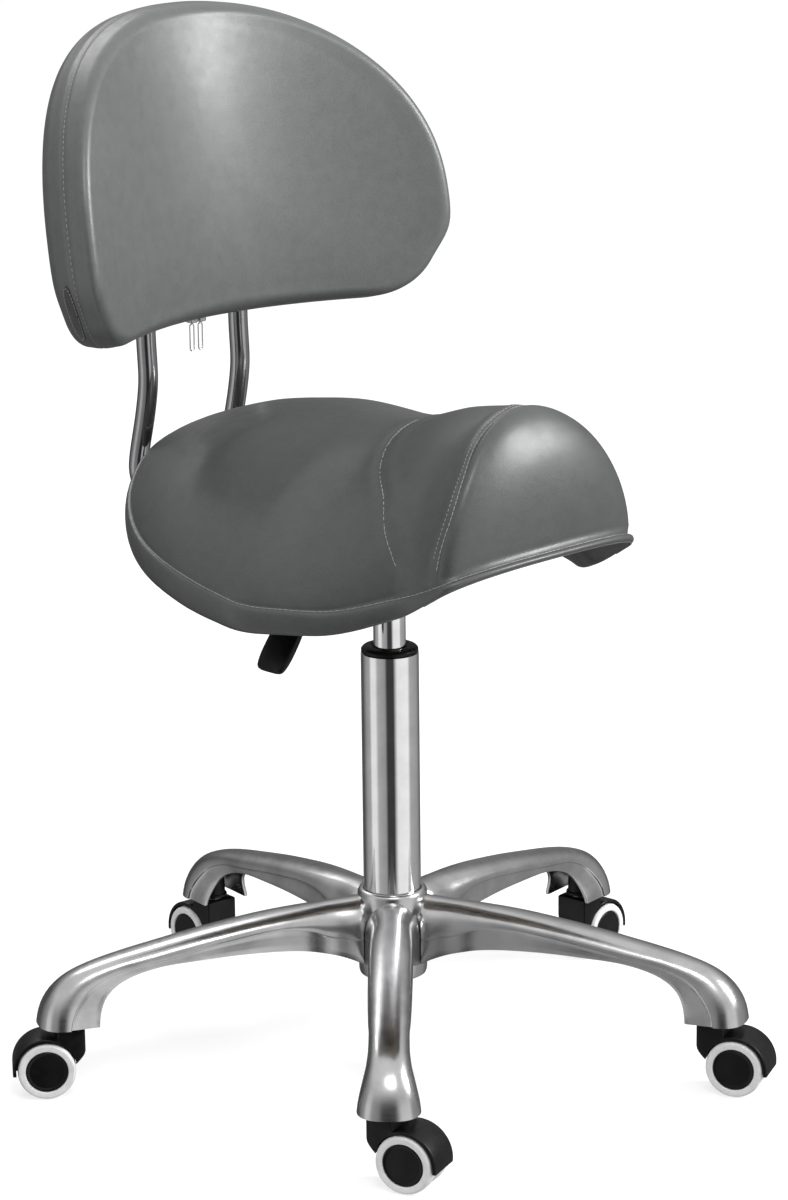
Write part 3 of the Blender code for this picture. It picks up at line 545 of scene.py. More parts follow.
def arm_ring(station, end=False):
    """One channel section: crown, lip, recessed sides, and the hollow underneath."""
    crest = Vector((station[0], 0.0, station[1]))
    under = Vector((station[2], 0.0, station[3]))
    up = crest - under
    height = up.length
    up.normalize()
    half = smooth(station[0], ARM_HALF_WIDTH)
    depth = min(smooth(station[0], LIP_DEPTH), height - 0.004)
    recess = smooth(station[0], RECESS)
    side = half - recess
    lip = height - depth
    shape = [(side - 0.0010, 0.0), (side - 0.0003, 0.0003), (side, 0.0010),
             (side, lip * 0.35), (side, lip * 0.70), (side, lip - 0.0016),
             (side + recess * 0.15, lip - 0.0006), (half - 0.0006, lip - 0.0001),
             (half - 0.0001, lip + 0.0005), (half, lip + 0.0012)]
    for step in range(1, 12):
        angle = math.pi / 2 * step / 11
        across = half * power(math.cos(angle), 0.80) if step < 11 else 0.0
        shape.append((across, lip + 0.0012 + (depth - 0.0012) * math.sin(angle) ** 0.92))
    inner = side - ARM_WALL
    roof = max(height - ARM_WALL - 0.0006, 0.006)
    hollow = [(inner + 0.0008, 0.0), (inner + 0.0001, 0.0004), (inner, 0.0011)]
    for part in (0.15, 0.30, 0.45, 0.58, 0.68):
        hollow.append((inner, 0.0011 + (roof - 0.0011) * part))
    count = len(shape) - len(hollow)
    for step in range(1, count + 1):
        angle = math.pi / 2 * step / count
        across = inner * power(math.cos(angle), 0.7) if step < count else 0.0
        hollow.append((across, roof * 0.68 + 0.32 * roof * math.sin(angle)))
    outer = shape + [(-x, z) for x, z in reversed(shape[:-1])]
    inside = hollow + [(-x, z) for x, z in reversed(hollow[:-1])]
    ring = [under + up * z + Vector((0.0, x, 0.0)) for x, z in outer]
    ring += [under + up * z + Vector((0.0, x, 0.0)) for x, z in reversed(inside)]
    return ring


def arm_direction(number):
    """The angle of an arm, from the column to its caster's stem."""
    stem = centre(f"caster_{number}_stem") - COLUMN
    return math.degrees(math.atan2(stem.y, stem.x))


def base():
    """Five arms and the hub, as one polished casting, with a black sleeve in each foot's hollow as
    painted shade.
    """
    bm = bmesh.new()
    rings = [arm_ring(station) for station in spline(ARM_SPINE, 72)]
    for number in CASTERS:
        turn = Matrix.Rotation(math.radians(arm_direction(number)), 4, "Z")
        skin_into(bm, [[turn @ point for point in ring] for ring in rings], "strip")
    hub = ((0.0256, 0.1532), (0.0270, 0.1534), (0.0284, 0.1529), (0.0296, 0.1518),
           (0.0303, 0.1498), (0.0306, 0.1440), (0.0309, 0.1200), (0.0304, 0.0900),
           (0.0296, 0.0782), (0.0288, 0.0758), (0.0276, 0.0750), (0.0249, 0.0750),
           (0.0249, 0.0800), (0.0254, 0.1200), (0.0256, 0.1500))
    turned_into(bm, hub, 128)
    mesh = moved(finished(bm, "aluminium_base", 32.0), COLUMN)
    piece(mesh, ALUMINIUM, "base", ("base_casting",))
    # Painted shade: a black nylon sleeve round each stem, where the foot's hollow is dark with shade.
    shade_sleeve = rounded(((0.0059, 0.0640), (0.0128, 0.0640), (0.0128, 0.0662), (0.0112, 0.0668),
                      (0.0104, 0.0985), (0.0059, 0.0985)), 0.0005)
    for number in CASTERS:
        socket = turned(f"foot_shade_sleeve_{number}", shade_sleeve, 48)
        stem = centre(f"caster_{number}_stem")
        piece(moved(socket, (stem.x, stem.y, 0.0)), NYLON, "base")


# ---------------------------------------------------------------- gas column
def gas_column():
    """Outer tube with its guide bush, the sliding cylinder and the parts inside."""
    low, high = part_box("column_outer_tube")
    foot, top = low[2], high[2]
    radius = (high[0] - low[0]) / 2
    tube = ((radius - 0.0007, top), (radius - 0.0001, top - 0.0004), (radius, top - 0.0012),
            (radius, 0.1560), (radius - 0.0002, 0.1400), (radius - 0.0007, foot + 0.001),
            (radius - 0.0014, foot), (0.0070, foot), (0.0070, foot + 0.003),
            (radius - 0.0026, foot + 0.003), (radius - 0.0018, 0.150), (radius - 0.0018, top))
    piece(moved(turned("column_tube", tube, 128), COLUMN), CHROME, "base",
          ("column_outer_tube",))
    cylinder_low, cylinder_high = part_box("gas_cylinder")
    inner = (cylinder_high[0] - cylinder_low[0]) / 2
    bush_low, bush_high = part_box("column_guide_bush")
    lip = bush_high[2]
    bush = rounded(((radius - 0.0003, top + 0.0003), (radius - 0.0003, lip - 0.0026),
                    (radius - 0.0022, lip - 0.0006), (inner + 0.0030, lip),
                    (inner + 0.0003, lip - 0.0012), (inner + 0.0003, bush_low[2]),
                    (radius - 0.0021, bush_low[2]), (radius - 0.0021, top + 0.0003)), 0.0007)
    piece(moved(turned("guide_bush", bush, 96), COLUMN), NYLON, "base",
          ("column_guide_bush",))
    bottom, ceiling = cylinder_low[2], cylinder_high[2]
    body = ((inner - 0.0010, ceiling), (inner, ceiling - 0.0030), (inner, bottom + 0.0015),
            (inner - 0.0012, bottom), (0.0053, bottom), (0.0053, bottom + 0.010),
            (0.0120, bottom + 0.010), (0.0120, ceiling - 0.015), (0.0033, ceiling - 0.015),
            (0.0033, ceiling))
    piece(moved(turned("lift_cylinder", body, 96), COLUMN), CHROME, "seat",
          ("gas_cylinder",))


# ---------------------------------------------------------------- casters
TRAIL_SIDE = -7.0       # angles about the axle, in degrees: the fender's end,
NECK_BACK = 108.0       # where the neck begins,
NECK_SIDE = 168.0       # and the front of the wheels' room
HOOD_HALF_WIDTH = 0.0174
HOOD_EDGE = 0.0017
TYRE_RADIUS = 0.0250
TYRE_OUTER = 0.0185     # distances of the tyre's two faces from the caster's middle
TYRE_INNER = 0.0033


def hood_outline(radius, fender, front, neck_top):
    """Matching (x, z) points of the hood's outside and of the room over the wheels."""
    outside = arc(fender, TRAIL_SIDE, NECK_BACK, 30)
    inside = arc(radius, TRAIL_SIDE, NECK_BACK, 30)
    block = [(outside[-1][0] - 0.0012, neck_top - 0.0030), (outside[-1][0] - 0.0030, neck_top),
             (front + 0.0080, neck_top), (front + 0.0016, neck_top),
             (front + 0.0004, neck_top - 0.0005), (front, neck_top - 0.0018),
             (front, neck_top - 0.010), (front, 0.0175), (front + 0.0006, 0.0146),
             (front + 0.0022, 0.0118), (front + 0.0046, 0.0088),
             arc(radius, NECK_SIDE, NECK_SIDE, 1)[0]]
    inside += arc(radius - 0.0001, NECK_BACK, NECK_SIDE, len(block))[1:]
    return outside + block, inside


def hood_half(x):
    """Half the hood's width, which narrows from the fender to the neck."""
    return HOOD_HALF_WIDTH - 0.0014 * min(1.0, max(0.0, (-x - 0.004) / 0.014))


def hood_mesh(name, trail, height):
    """The moulded fork over both wheels, with its web and its neck under the foot."""
    radius = TYRE_RADIUS
    outside, inside = hood_outline(radius + 0.0013, radius + 0.0043, -trail - 0.0135,
                                   0.0616 - height)
    count = len(outside)
    normals = []
    for k in range(count):
        before = outside[max(k - 1, 0)]
        after = outside[min(k + 1, count - 1)]
        run = Vector((after[0] - before[0], after[1] - before[1])).normalized()
        normals.append((-run.y, run.x))
    rows = []
    layers = [(HOOD_EDGE - z, HOOD_EDGE - x) for x, z in arc(HOOD_EDGE, 0.0, 90.0, 4)]
    layers = [(-1, inset, out) for inset, out in layers] + [
        (1, inset, out) for inset, out in reversed(layers)]
    for side, inset, drop in layers:
        ring = []
        for (x, z), (nx, nz) in zip(outside, normals):
            across = side * (hood_half(x) - drop)
            ring.append((trail + x + nx * inset, across, height + z + nz * inset))
        for x, z in reversed(inside):
            ring.append((trail + x, side * (hood_half(x) - drop * 0.4), height + z))
        rows.append(ring)
    bm = bmesh.new()
    skin_into(bm, rows, "strip")
    web = arc(radius + 0.0018, TRAIL_SIDE, NECK_SIDE, 28) + arc(0.0120, 196.0, 346.0, 12)
    skin_into(bm, [[(trail + x, y, height + z) for x, z in web] for y in (-0.0028, 0.0028)],
              "fan")
    return finished(bm, name, 32.0)


def wheel_meshes(number, side, sign, trail, height):
    """A wheel's pale tyre and its black disc, on the caster's own +X trail."""
    outer = sign * TYRE_OUTER
    inner = sign * TYRE_INNER
    tread = rounded(((0.0182, outer - sign * 0.0004), (0.0236, outer),
                     (TYRE_RADIUS, outer - sign * 0.0030),
                     (TYRE_RADIUS, inner + sign * 0.0024), (0.0238, inner + sign * 0.0006),
                     (0.0182, inner)), 0.0013, 5)
    disc = ((0.0, outer - sign * 0.0009), (0.0040, outer - sign * 0.0009),
            (0.0052, outer - sign * 0.0010), (0.0150, outer - sign * 0.0013),
            (0.0158, outer - sign * 0.0008), (0.0170, outer - sign * 0.0006),
            (0.0176, outer - sign * 0.0010), (0.0178, outer - sign * 0.0020),
            (0.0178, inner), (0.0033, inner), (0.0033, sign * 0.0154), (0.0, sign * 0.0154))
    turn = Matrix.Translation((trail, 0.0, height)) @ Matrix.Rotation(math.pi / 2, 4, "X")
    made = []
    for name, profile in ((f"tyre_{number}_{side}", tread), (f"wheel_disc_{number}_{side}", disc)):
        mesh = turned(name, [(radius, -along) for radius, along in profile], 72, 30.0)
        mesh.transform(turn)
        made.append(mesh)
    return made


def casters():
    """Five twin-wheel casters, each at the heading that its CAD parts stand at."""
    for number in CASTERS:
        stem = centre(f"caster_{number}_stem")
        axle = centre(f"caster_{number}_axle")
        trail = math.hypot(axle.x - stem.x, axle.y - stem.y)
        heading = math.degrees(math.atan2(axle.y - stem.y, axle.x - stem.x))
        place = (stem.x, stem.y, 0.0)
        hood = moved(hood_mesh(f"caster_hood_{number}", trail, axle.z), place, heading)
        piece(hood, NYLON, f"caster_{number}", (f"caster_{number}_hood",))
        for side in ("left", "right"):
            core = centre(f"caster_{number}_core_{side}")
            across = Matrix.Rotation(math.radians(-heading), 4, "Z") @ (core - stem)
            sign = 1 if across.y > 0 else -1
            tread, disc = wheel_meshes(number, side, sign, trail, axle.z)
            body = f"caster_{number}_wheel_{side}"
            piece(moved(tread, place, heading), TYRE, body,
                  (f"caster_{number}_tread_{side}",))
            piece(moved(disc, place, heading), NYLON, body,
                  (f"caster_{number}_core_{side}",))


# ---------------------------------------------------------------- height lever
LEVER_PATH = ((0.006, 0.487), (-0.022, 0.487), (-0.040, 0.4855), (-0.056, 0.480),
              (-0.078, 0.461), (-0.098, 0.436), (-0.118, 0.4093))
PADDLE_TIP = (-0.1425, 0.3775)
PADDLE_START = (-0.0985, 0.4353)
PADDLE = ((0.0, 0.0070, 0.0052), (0.015, 0.0082, 0.0060), (0.10, 0.0092, 0.0063),
          (0.25, 0.0122, 0.0062), (0.42, 0.0150, 0.0059), (0.60, 0.0166, 0.0055),
          (0.78, 0.0170, 0.0050), (0.90, 0.0161, 0.0045), (0.965, 0.0146, 0.0038),
          (0.99, 0.0125, 0.0028), (1.0, 0.0098, 0.0016))


def height_lever():
    """The bent steel bar on its pivot boss, and the moulded paddle on its end."""
    path = spline([(COLUMN.x + x, COLUMN.y, z) for x, z in LEVER_PATH], 64)
    bm = bmesh.new()
    skin_into(bm, tube_rings(path, 0.0035, 32), "fan")
    pivot = Vector((COLUMN.x - 0.022, COLUMN.y, 0.487))
    boss = []
    for radius, along in rounded(((0.0028, -0.009), (0.0050, -0.009), (0.0050, 0.009),
                                  (0.0028, 0.009)), 0.0006):
        boss.append([pivot + Vector((x, along, z)) for x, z in circle(radius)])
    skin_into(bm, boss, None, loop=True)
    piece(finished(bm, "lever_bar"), BLACK_STEEL, "height_lever",
          ("height_lever",))

    start = Vector((COLUMN.x + PADDLE_START[0], COLUMN.y, PADDLE_START[1]))
    along = Vector((COLUMN.x + PADDLE_TIP[0], COLUMN.y, PADDLE_TIP[1])) - start
    normal = Vector((0, 1, 0)).cross(along.normalized())
    rings = []
    for part in np.concatenate([np.linspace(0.0, 0.94, 30), [0.965, 0.98, 0.99, 0.996, 1.0]]):
        half = smooth(part, [(row[0], row[1]) for row in PADDLE])
        deep = smooth(part, [(row[0], row[2]) for row in PADDLE])
        middle = start + along * part
        rings.append([middle + Vector((0, 1, 0)) * (power(x, 0.62) * half)
                      + normal * (power(z, 0.72) * deep) for x, z in circle(1.0)])
    piece(skinned("lever_grip", rings, "fan", 40.0), NYLON, "height_lever",
          ("lever_paddle",))


# ---------------------------------------------------------------- seat cushion
SEAT_REAR_RADIUS = 0.1886
SEAT_REAR_CENTRE = -0.0451
SEAT_CORNER = (0.1137, 0.1650)
SEAT_FRONT = 0.1925
SEAT_HALF_WIDTH = ((-0.0451, 0.1886), (0.0, 0.1877), (0.05, 0.1683), (0.10, 0.1377),
                   (0.135, 0.1177), (0.165, 0.1137))
SEAT_SEAM_HEIGHT = ((-0.230, 0.5293), (-0.213, 0.5177), (-0.188, 0.5025), (-0.130, 0.4793),
                    (-0.070, 0.4647), (-0.020, 0.4533), (0.030, 0.4456), (0.070, 0.4454),
                    (0.128, 0.4590), (0.165, 0.4735), (0.198, 0.4915))
SEAT_SPINE = ((-0.080, 0.5711), (-0.030, 0.5702), (0.0, 0.5716), (0.045, 0.5784),
              (0.100, 0.5945), (0.150, 0.6032))
SEAT_CROWN_POWER = ((-0.230, 1.90), (-0.10, 2.15), (0.0, 2.05), (0.05, 1.69), (0.15, 1.58),
                    (0.198, 2.14))
SEAT_CROWN_ROOT = ((-0.230, 0.90), (-0.10, 0.711), (0.0, 0.724), (0.05, 0.783),
                   (0.15, 0.535), (0.198, 0.484))
SEAT_BAND_HEIGHT = ((-0.230, 0.022), (-0.05, 0.026), (0.03, 0.0225), (0.10, 0.0195),
                    (0.128, 0.0170), (0.165, 0.0098), (0.198, 0.005))
BOARD_SCALE = 0.70
POCKET_FLOOR = 0.4962
POCKET_ROOF = 0.5065
FRONT_SEAM = [(0.0, 0.151), (-0.024, 0.1513), (-0.045, 0.1530), (-0.060, 0.1575),
              (-0.074, 0.1640), (-0.090, 0.1690), (-0.102, 0.1700), (-0.1125, 0.1660)]
SADDLE_SEAM = [(0.0, 0.045), (-0.020, 0.046), (-0.044, 0.050), (-0.060, 0.057),
               (-0.083, 0.074), (-0.098, 0.093), (-0.111, 0.107), (-0.1165, 0.125)]
SEAT_MIDDLE = (SEAT_FRONT + SEAT_REAR_CENTRE - SEAT_REAR_RADIUS) / 2


def seat_loop(rear=44, flank=56, nose=32):
    """(x, forward) points round the seat's seam, from the back's middle round by +X."""
    half = []
    for step in range(rear):
        angle = math.radians(90.0 * step / rear)
        half.append((SEAT_REAR_RADIUS * math.sin(angle),
                     SEAT_REAR_CENTRE - SEAT_REAR_RADIUS * math.cos(angle)))
    for step in range(flank):
        forward = SEAT_REAR_CENTRE + (SEAT_CORNER[1] - SEAT_REAR_CENTRE) * step / flank
        half.append((smooth(forward, SEAT_HALF_WIDTH), forward))
    for step in range(nose + 1):
        angle = math.radians(90.0 * step / nose)
        across = math.cos(angle) ** 0.82 if step < nose else 0.0
        half.append((SEAT_CORNER[0] * across,
                     SEAT_CORNER[1] + (SEAT_FRONT - SEAT_CORNER[1]) * math.sin(angle) ** 0.82))
    return mirrored(half)


def seat_point(x, forward, share):
    """The seat's top, a share of the way out from its spine to a point of the seam."""
    spine_at = min(max(forward, SEAT_SPINE[0][0]), SEAT_SPINE[-1][0])
    seam = smooth(forward, SEAT_SEAM_HEIGHT)
    crest = smooth(spine_at, SEAT_SPINE)
    fall = max(0.0, 1.0 - share ** smooth(forward, SEAT_CROWN_POWER))
    height = seam + (crest - seam) * fall ** smooth(forward, SEAT_CROWN_ROOT)
    return Vector((x * share, -(spine_at + (forward - spine_at) * share), height))


def seat_rings(loop):
    """Rings from the spine over the top, down the band and in under the board."""
    shares = [0.02, 0.05] + list(np.linspace(0.09, 0.86, 30)) + list(
        1.0 - 0.14 * np.linspace(0.93, 0.0, 14) ** 1.6)
    rings = [[seat_point(x, forward, share) for x, forward in loop] for share in shares]
    seam_row = len(rings) - 1
    for turn in np.linspace(10.0, 170.0, 11):
        part = (1 - math.cos(math.radians(turn))) / 2
        bulge = 0.0049 * math.sin(math.radians(turn)) ** 0.8
        ring = []
        for (x, forward), (wide_x, wide) in zip(loop, scaled(loop, SEAT_MIDDLE, 1.0, bulge)):
            seam = smooth(forward, SEAT_SEAM_HEIGHT)
            band = smooth(forward, SEAT_BAND_HEIGHT)
            ring.append(Vector((wide_x, -wide, seam - part * band)))
        rings.append(ring)
    lower = rings[-1]
    low_row = len(rings) - 1
    inner = scaled(loop, SEAT_MIDDLE, BOARD_SCALE, 0.0006)
    pocket = [Vector((x, -forward, POCKET_FLOOR)) for x, forward in inner]
    for part in (0.04, 0.12, 0.24, 0.38, 0.54, 0.70, 0.84, 0.94, 1.0):
        ring = []
        for a, b in zip(lower, pocket):
            point = a.lerp(b, part)
            point.z = a.z + (b.z - a.z) * math.sin(part * math.pi / 2) ** 1.3
            ring.append(point)
        rings.append(ring)
    rings.append([Vector((p.x, p.y, POCKET_ROOF)) for p in pocket])
    return rings, seam_row, low_row


def distance_to(points, line):
    """The distance of each plan point to a polyline."""
    best = np.full(len(points), 1e9)
    for a, b in zip(line, line[1:]):
        a, b = np.array(a), np.array(b)
        run = b - a
        t = np.clip(((points - a) @ run) / max(run @ run, 1e-12), 0.0, 1.0)
        best = np.minimum(best, np.linalg.norm(points - (a + t[:, None] * run), axis=1))
    return best


def mirrored_line(half):
    """A smooth line across the seat, from its left half's plan points."""
    return [tuple(p) for p in spline([(-x, y) for x, y in half[::-1]] + half[1:], 120)]


SETTLE = 40   # rounds of smoothing that leave the puff and take out the creases


def inflated(obj, pinned, pressure, cap, frames=20):
    """Puff a piece up with a cloth simulation, no point moving further than cap."""
    before = np.array([v.co[:] for v in obj.data.vertices])
    group = obj.vertex_groups.new(name="held")
    for index, weight in enumerate(pinned):
        if weight > 0.0:
            group.add([index], float(weight), "REPLACE")
    step = obj.modifiers.new("puff", "CLOTH")
    settings = step.settings
    settings.quality = 6
    settings.mass = 0.3
    settings.tension_stiffness = 18.0
    settings.compression_stiffness = 18.0
    settings.shear_stiffness = 8.0
    settings.bending_stiffness = 0.8
    settings.use_pressure = True
    settings.uniform_pressure_force = pressure
    settings.effector_weights.gravity = 0.0
    settings.vertex_group_mass = "held"
    step.collision_settings.use_collision = False
    step.collision_settings.use_self_collision = False
    scene = bpy.context.scene
    for number in range(1, frames + 1):
        scene.frame_set(number)
    evaluated = obj.evaluated_get(bpy.context.evaluated_depsgraph_get())
    after = np.array([v.co[:] for v in evaluated.data.vertices])
    obj.modifiers.remove(step)
    obj.vertex_groups.clear()
    scene.frame_set(1)
    if len(after) == len(before) and np.isfinite(after).all():
        normals = vertex_normals(obj.data)
        puff = np.clip(np.sum((after - before) * normals, axis=1), 0.0, cap)
        edges = np.array([edge.vertices[:] for edge in obj.data.edges])
        near = np.bincount(edges.ravel(), minlength=len(puff))
        free = 1.0 - np.asarray(pinned)
        for _ in range(SETTLE):
            total = np.bincount(edges[:, 0], puff[edges[:, 1]], len(puff))
            total += np.bincount(edges[:, 1], puff[edges[:, 0]], len(puff))
            puff = (0.3 * puff + 0.7 * total / near) * free
        pushed(obj.data, puff)


def vertex_normals(mesh):
    """The mesh's vertex normals as an array."""
    return np.array([v.vector[:] for v in mesh.vertex_normals])


def coordinates(mesh):
    """The mesh's points as an array."""
    flat = np.empty(len(mesh.vertices) * 3)
    mesh.vertices.foreach_get("co", flat)
    return flat.reshape(-1, 3)


def pushed(mesh, amounts):
    """Move each point of a mesh along its normal."""
    where = coordinates(mesh) + vertex_normals(mesh) * amounts[:, None]
    mesh.vertices.foreach_set("co", where.ravel())
    mesh.update()


def surface(mesh):
    """A search tree of a mesh's faces."""
    return BVHTree.FromPolygons([v.co[:] for v in mesh.vertices],
                                [p.vertices[:] for p in mesh.polygons])


STITCH_SINK = 0.0001


def seam_stitches(name, line, tree, pitch=0.0046, length=0.0039, radius=0.00036):
    """Stitches of thread along a line of points, laid on the surface behind them."""
    line = np.array([tuple(p) for p in line])
    steps = np.linalg.norm(np.diff(line, axis=0), axis=1)
    travelled = np.concatenate([[0.0], np.cumsum(steps)])
    bm = bmesh.new()
    count = int(travelled[-1] / pitch)
    for k in range(count):
        ends = []
        for where in (k * pitch, k * pitch + length):
            point = Vector([np.interp(where, travelled, line[:, axis]) for axis in range(3)])
            place, normal, _, _ = tree.find_nearest(point)
            ends.append(place + normal * (radius * 0.55 - STITCH_SINK))
        if (ends[1] - ends[0]).length > length * 0.4:
            capsule_into(bm, ends[0], ends[1], radius)
    piece(finished(bm, name, 60.0), THREAD, "seat")


def seat():
    """The saddle cushion: puffed vinyl panels with sewn seams, piping and stitching."""
    loop = seat_loop()
    rings, seam_row, low_row = seat_rings(loop)
    count = len(loop)
    shift = Vector((COLUMN.x, COLUMN.y, 0.0))
    bm = bmesh.new()
    skin_into(bm, [[point + shift for point in ring] for ring in rings], "fold")
    mesh = finished(bm, "saddle_cushion", 0)
    cushion = piece(mesh, VINYL, "seat", ("seat_cushion",))
    plan = coordinates(mesh)
    points = np.stack([plan[:, 0] - COLUMN.x, -(plan[:, 1] - COLUMN.y)], axis=1)
    row = np.arange(len(points)) // count
    held = np.zeros(len(points))
    held[row == seam_row] = 1.0
    held[row >= low_row] = 1.0
    inflated(cushion, held, 3.0, 0.0030)

    front_seam = mirrored_line(FRONT_SEAM)
    saddle_seam = mirrored_line(SADDLE_SEAM)
    push = np.where(row == seam_row, -0.0009, 0.0)
    for line in (front_seam, saddle_seam):
        d = distance_to(points, line)
        push += np.where(row < seam_row, -0.0011 * np.exp(-(d / 0.0022) ** 2)
                         + 0.0006 * np.exp(-((d - 0.0075) / 0.0040) ** 2), 0.0)
    pushed(mesh, push)

    tree = surface(mesh)
    def laid(line, offset=0.0):
        """A plan line laid on the seat's top, moved backward by an offset."""
        placed = []
        for x, forward in line:
            above = Vector((COLUMN.x + x, COLUMN.y - forward + offset, 0.64))
            hit = tree.ray_cast(above, Vector((0, 0, -1)))
            if hit[0] is not None:
                placed.append(hit[0])
        return placed

    seam_stitches("seam_front_panel", laid(front_seam), tree)
    seam_stitches("topstitch_front_panel", laid(front_seam, 0.0042), tree, 0.0040, 0.0021,
                  0.00026)
    seam_stitches("seam_saddle", laid(saddle_seam), tree)
    final = coordinates(mesh)
    edge = final[row == seam_row]
    edge = np.vstack([edge, edge[:1]])
    seam_stitches("seam_edge", edge, tree, 0.0048, 0.0044, 0.00042)
    hem = final[row == low_row - 1]
    welt = [hem[index] for index in range(count) if loop[index][1] > 0.150]
    rings = tube_rings(spline(welt, 140), 0.0007, 10)
    piece(skinned("front_welt", rings, "fan", 60.0), WELT, "seat")


# ---------------------------------------------------------------- backrest
BACK_HALF_WIDTH = 0.2144
BACK_BOTTOM = 0.6300
BACK_TOP = 0.8984
BACK_SHOULDER = BACK_BOTTOM + 0.0838
BACK_CORNER = 0.055
BACK_LEAN = 0.153
BACK_SAGITTA = 0.0832
BACK_FOOT = 0.2229
BACK_BAND = 0.0580
BACK_CROWN = 0.0090
BACK_REAR_CROWN = 0.0120
BACK_ROLL = 0.0135
BACK_MIDDLE = (BACK_BOTTOM + BACK_TOP) / 2


def panel_point(x, height, forward):
    """A point of the curved, leaning backrest, a distance forward of its middle surface."""
    lean = math.atan(BACK_LEAN)
    back = BACK_FOOT + BACK_LEAN * (height - BACK_BOTTOM)
    bow = BACK_SAGITTA * (x / BACK_HALF_WIDTH) ** 2
    return Vector((COLUMN.x + x, COLUMN.y + back - bow - forward * math.cos(lean),
                   height + forward * math.sin(lean)))


def panel_loop():
    """(x, height) points of the D-shaped outline, from the foot's middle round by +X."""
    foot = BACK_HALF_WIDTH - 0.012 - BACK_CORNER
    half = [(foot * step / 22, BACK_BOTTOM) for step in range(23)]
    for step in range(1, 17):
        angle = math.radians(60.0 * step / 16)
        half.append((foot + BACK_CORNER * math.sin(angle),
                     BACK_BOTTOM + BACK_CORNER * (1 - math.cos(angle))))
    leave = Vector(half[-1])
    slope = Vector((math.cos(math.radians(60.0)), math.sin(math.radians(60.0))))
    widest = Vector((BACK_HALF_WIDTH, BACK_SHOULDER))
    reach = (widest - leave).length * 0.48
    for step in range(1, 12):
        t = step / 12
        bend = (leave, leave + slope * reach, widest - Vector((0.0, reach)), widest)
        half.append(tuple(bend[0] * (1 - t)**3 + bend[1] * 3 * t * (1 - t)**2
                          + bend[2] * 3 * t * t * (1 - t) + bend[3] * t**3))
    for step in range(61):
        angle = math.radians(90.0 * step / 60)
        across = math.cos(angle) ** 0.92 if step < 60 else 0.0
        half.append((BACK_HALF_WIDTH * across,
                     BACK_SHOULDER + (BACK_TOP - BACK_SHOULDER) * math.sin(angle) ** 0.863))
    return mirrored(half)


def back_face(crown, fullness):
    """(scale, grow, forward) layers of one face, from its middle out to the rim's band."""
    half = BACK_BAND / 2
    layers = []
    for scale in (0.05, 0.10, 0.16, 0.24, 0.32, 0.40, 0.48, 0.56, 0.63, 0.70, 0.75, 0.79,
                  0.82, 0.845, 0.865):
        layers.append((scale, 0.0, half + crown * (1 - scale ** fullness) - 0.0002))
    start = half + crown * (1 - 0.895 ** fullness) - 0.0002
    for step in range(0, 11):
        angle = math.radians(90.0 * step / 11)
        drop = start - (half - BACK_ROLL)
        layers.append((1.0, -BACK_ROLL * (1 - math.sin(angle)), half - BACK_ROLL
                       + drop * math.cos(angle)))
    return layers


def back_layers():
    """(scale, grow, forward) layers from the front's middle to the rear's middle."""
    half = BACK_BAND / 2
    front = back_face(BACK_CROWN, 2.4)
    rear = back_face(BACK_REAR_CROWN, 2.2)
    middle = []
    for step in range(11):
        part = step / 10
        middle.append((1.0, 0.0016 * math.sin(math.pi * part),
                       (half - BACK_ROLL) - (2 * half - 2 * BACK_ROLL) * part))
    rear = [(scale, grow, -forward) for scale, grow, forward in reversed(rear)]
    return front + middle + rear, len(front), len(middle)


def backrest():
    """The backrest cushion with its seam round the rim."""
    loop = panel_loop()
    layers, front, middle = back_layers()
    rings = [[panel_point(x, height, forward) for x, height in scaled(loop, BACK_MIDDLE, scale, grow)]
             for scale, grow, forward in layers]
    count = len(loop)
    bm = bmesh.new()
    skin_into(bm, rings, "centre")
    mesh = finished(bm, "backrest_pad", 0)
    # Painted light: the pad wears the lighter copy of the seat's vinyl.
    pad = piece(mesh, BACK_VINYL_PAINTED_LIGHTER, "seat", ("backrest_cushion",))
    row = np.arange(len(mesh.vertices)) // count
    held = np.zeros(len(mesh.vertices))
    held[(row >= front) & (row < front + middle)] = 1.0
    inflated(pad, held, 2.5, 0.0016)
    rim_seam = front + middle // 2
    pushed(mesh, np.where(row == rim_seam, -0.0011, 0.0))
    tree = surface(mesh)
    seam = coordinates(mesh)[row == rim_seam]
    seam = np.vstack([seam, seam[:1]])
    seam_stitches("backrest_seam", seam, tree, 0.0052, 0.0030, 0.00030)
    side_tab(tree)
    zip_fastener(tree)


def side_tab(tree):
    """The dark stitched fabric tab on the band of the backrest's right side."""
    edge = [point for point in panel_loop() if point[0] > BACK_HALF_WIDTH * 0.7
            and point[1] <= BACK_SHOULDER]
    heights = [height for _, height in edge]
    widths = [x for x, _ in edge]
    rings = []
    stitch = []
    for scale, lift in ((0.10, 0.0011), (0.60, 0.0011), (0.90, 0.0010), (0.97, 0.0007),
                        (1.0, 0.0001), (1.0, -0.0008)):
        ring = []
        for step in range(48):
            angle = math.tau * step / 48
            up = 0.0265 * scale * power(math.sin(angle), 0.75)
            across = 0.0068 * scale * power(math.cos(angle), 0.85)
            height = 0.6690 + up
            middle = panel_point(-float(np.interp(height, heights, widths)), height,
                                 across - 0.0095)
            hit = tree.find_nearest(middle)
            ring.append(hit[0] + hit[1] * lift)
        rings.append(ring)
        if scale == 0.90 and lift > 0.0005:
            stitch = ring + ring[:1]
    plate = skinned("side_tab", rings, "fan", 50.0)
    piece(plate, WEBBING, "seat")
    seam_stitches("side_tab_stitches", stitch, surface(plate), 0.0034, 0.0022, 0.00026)


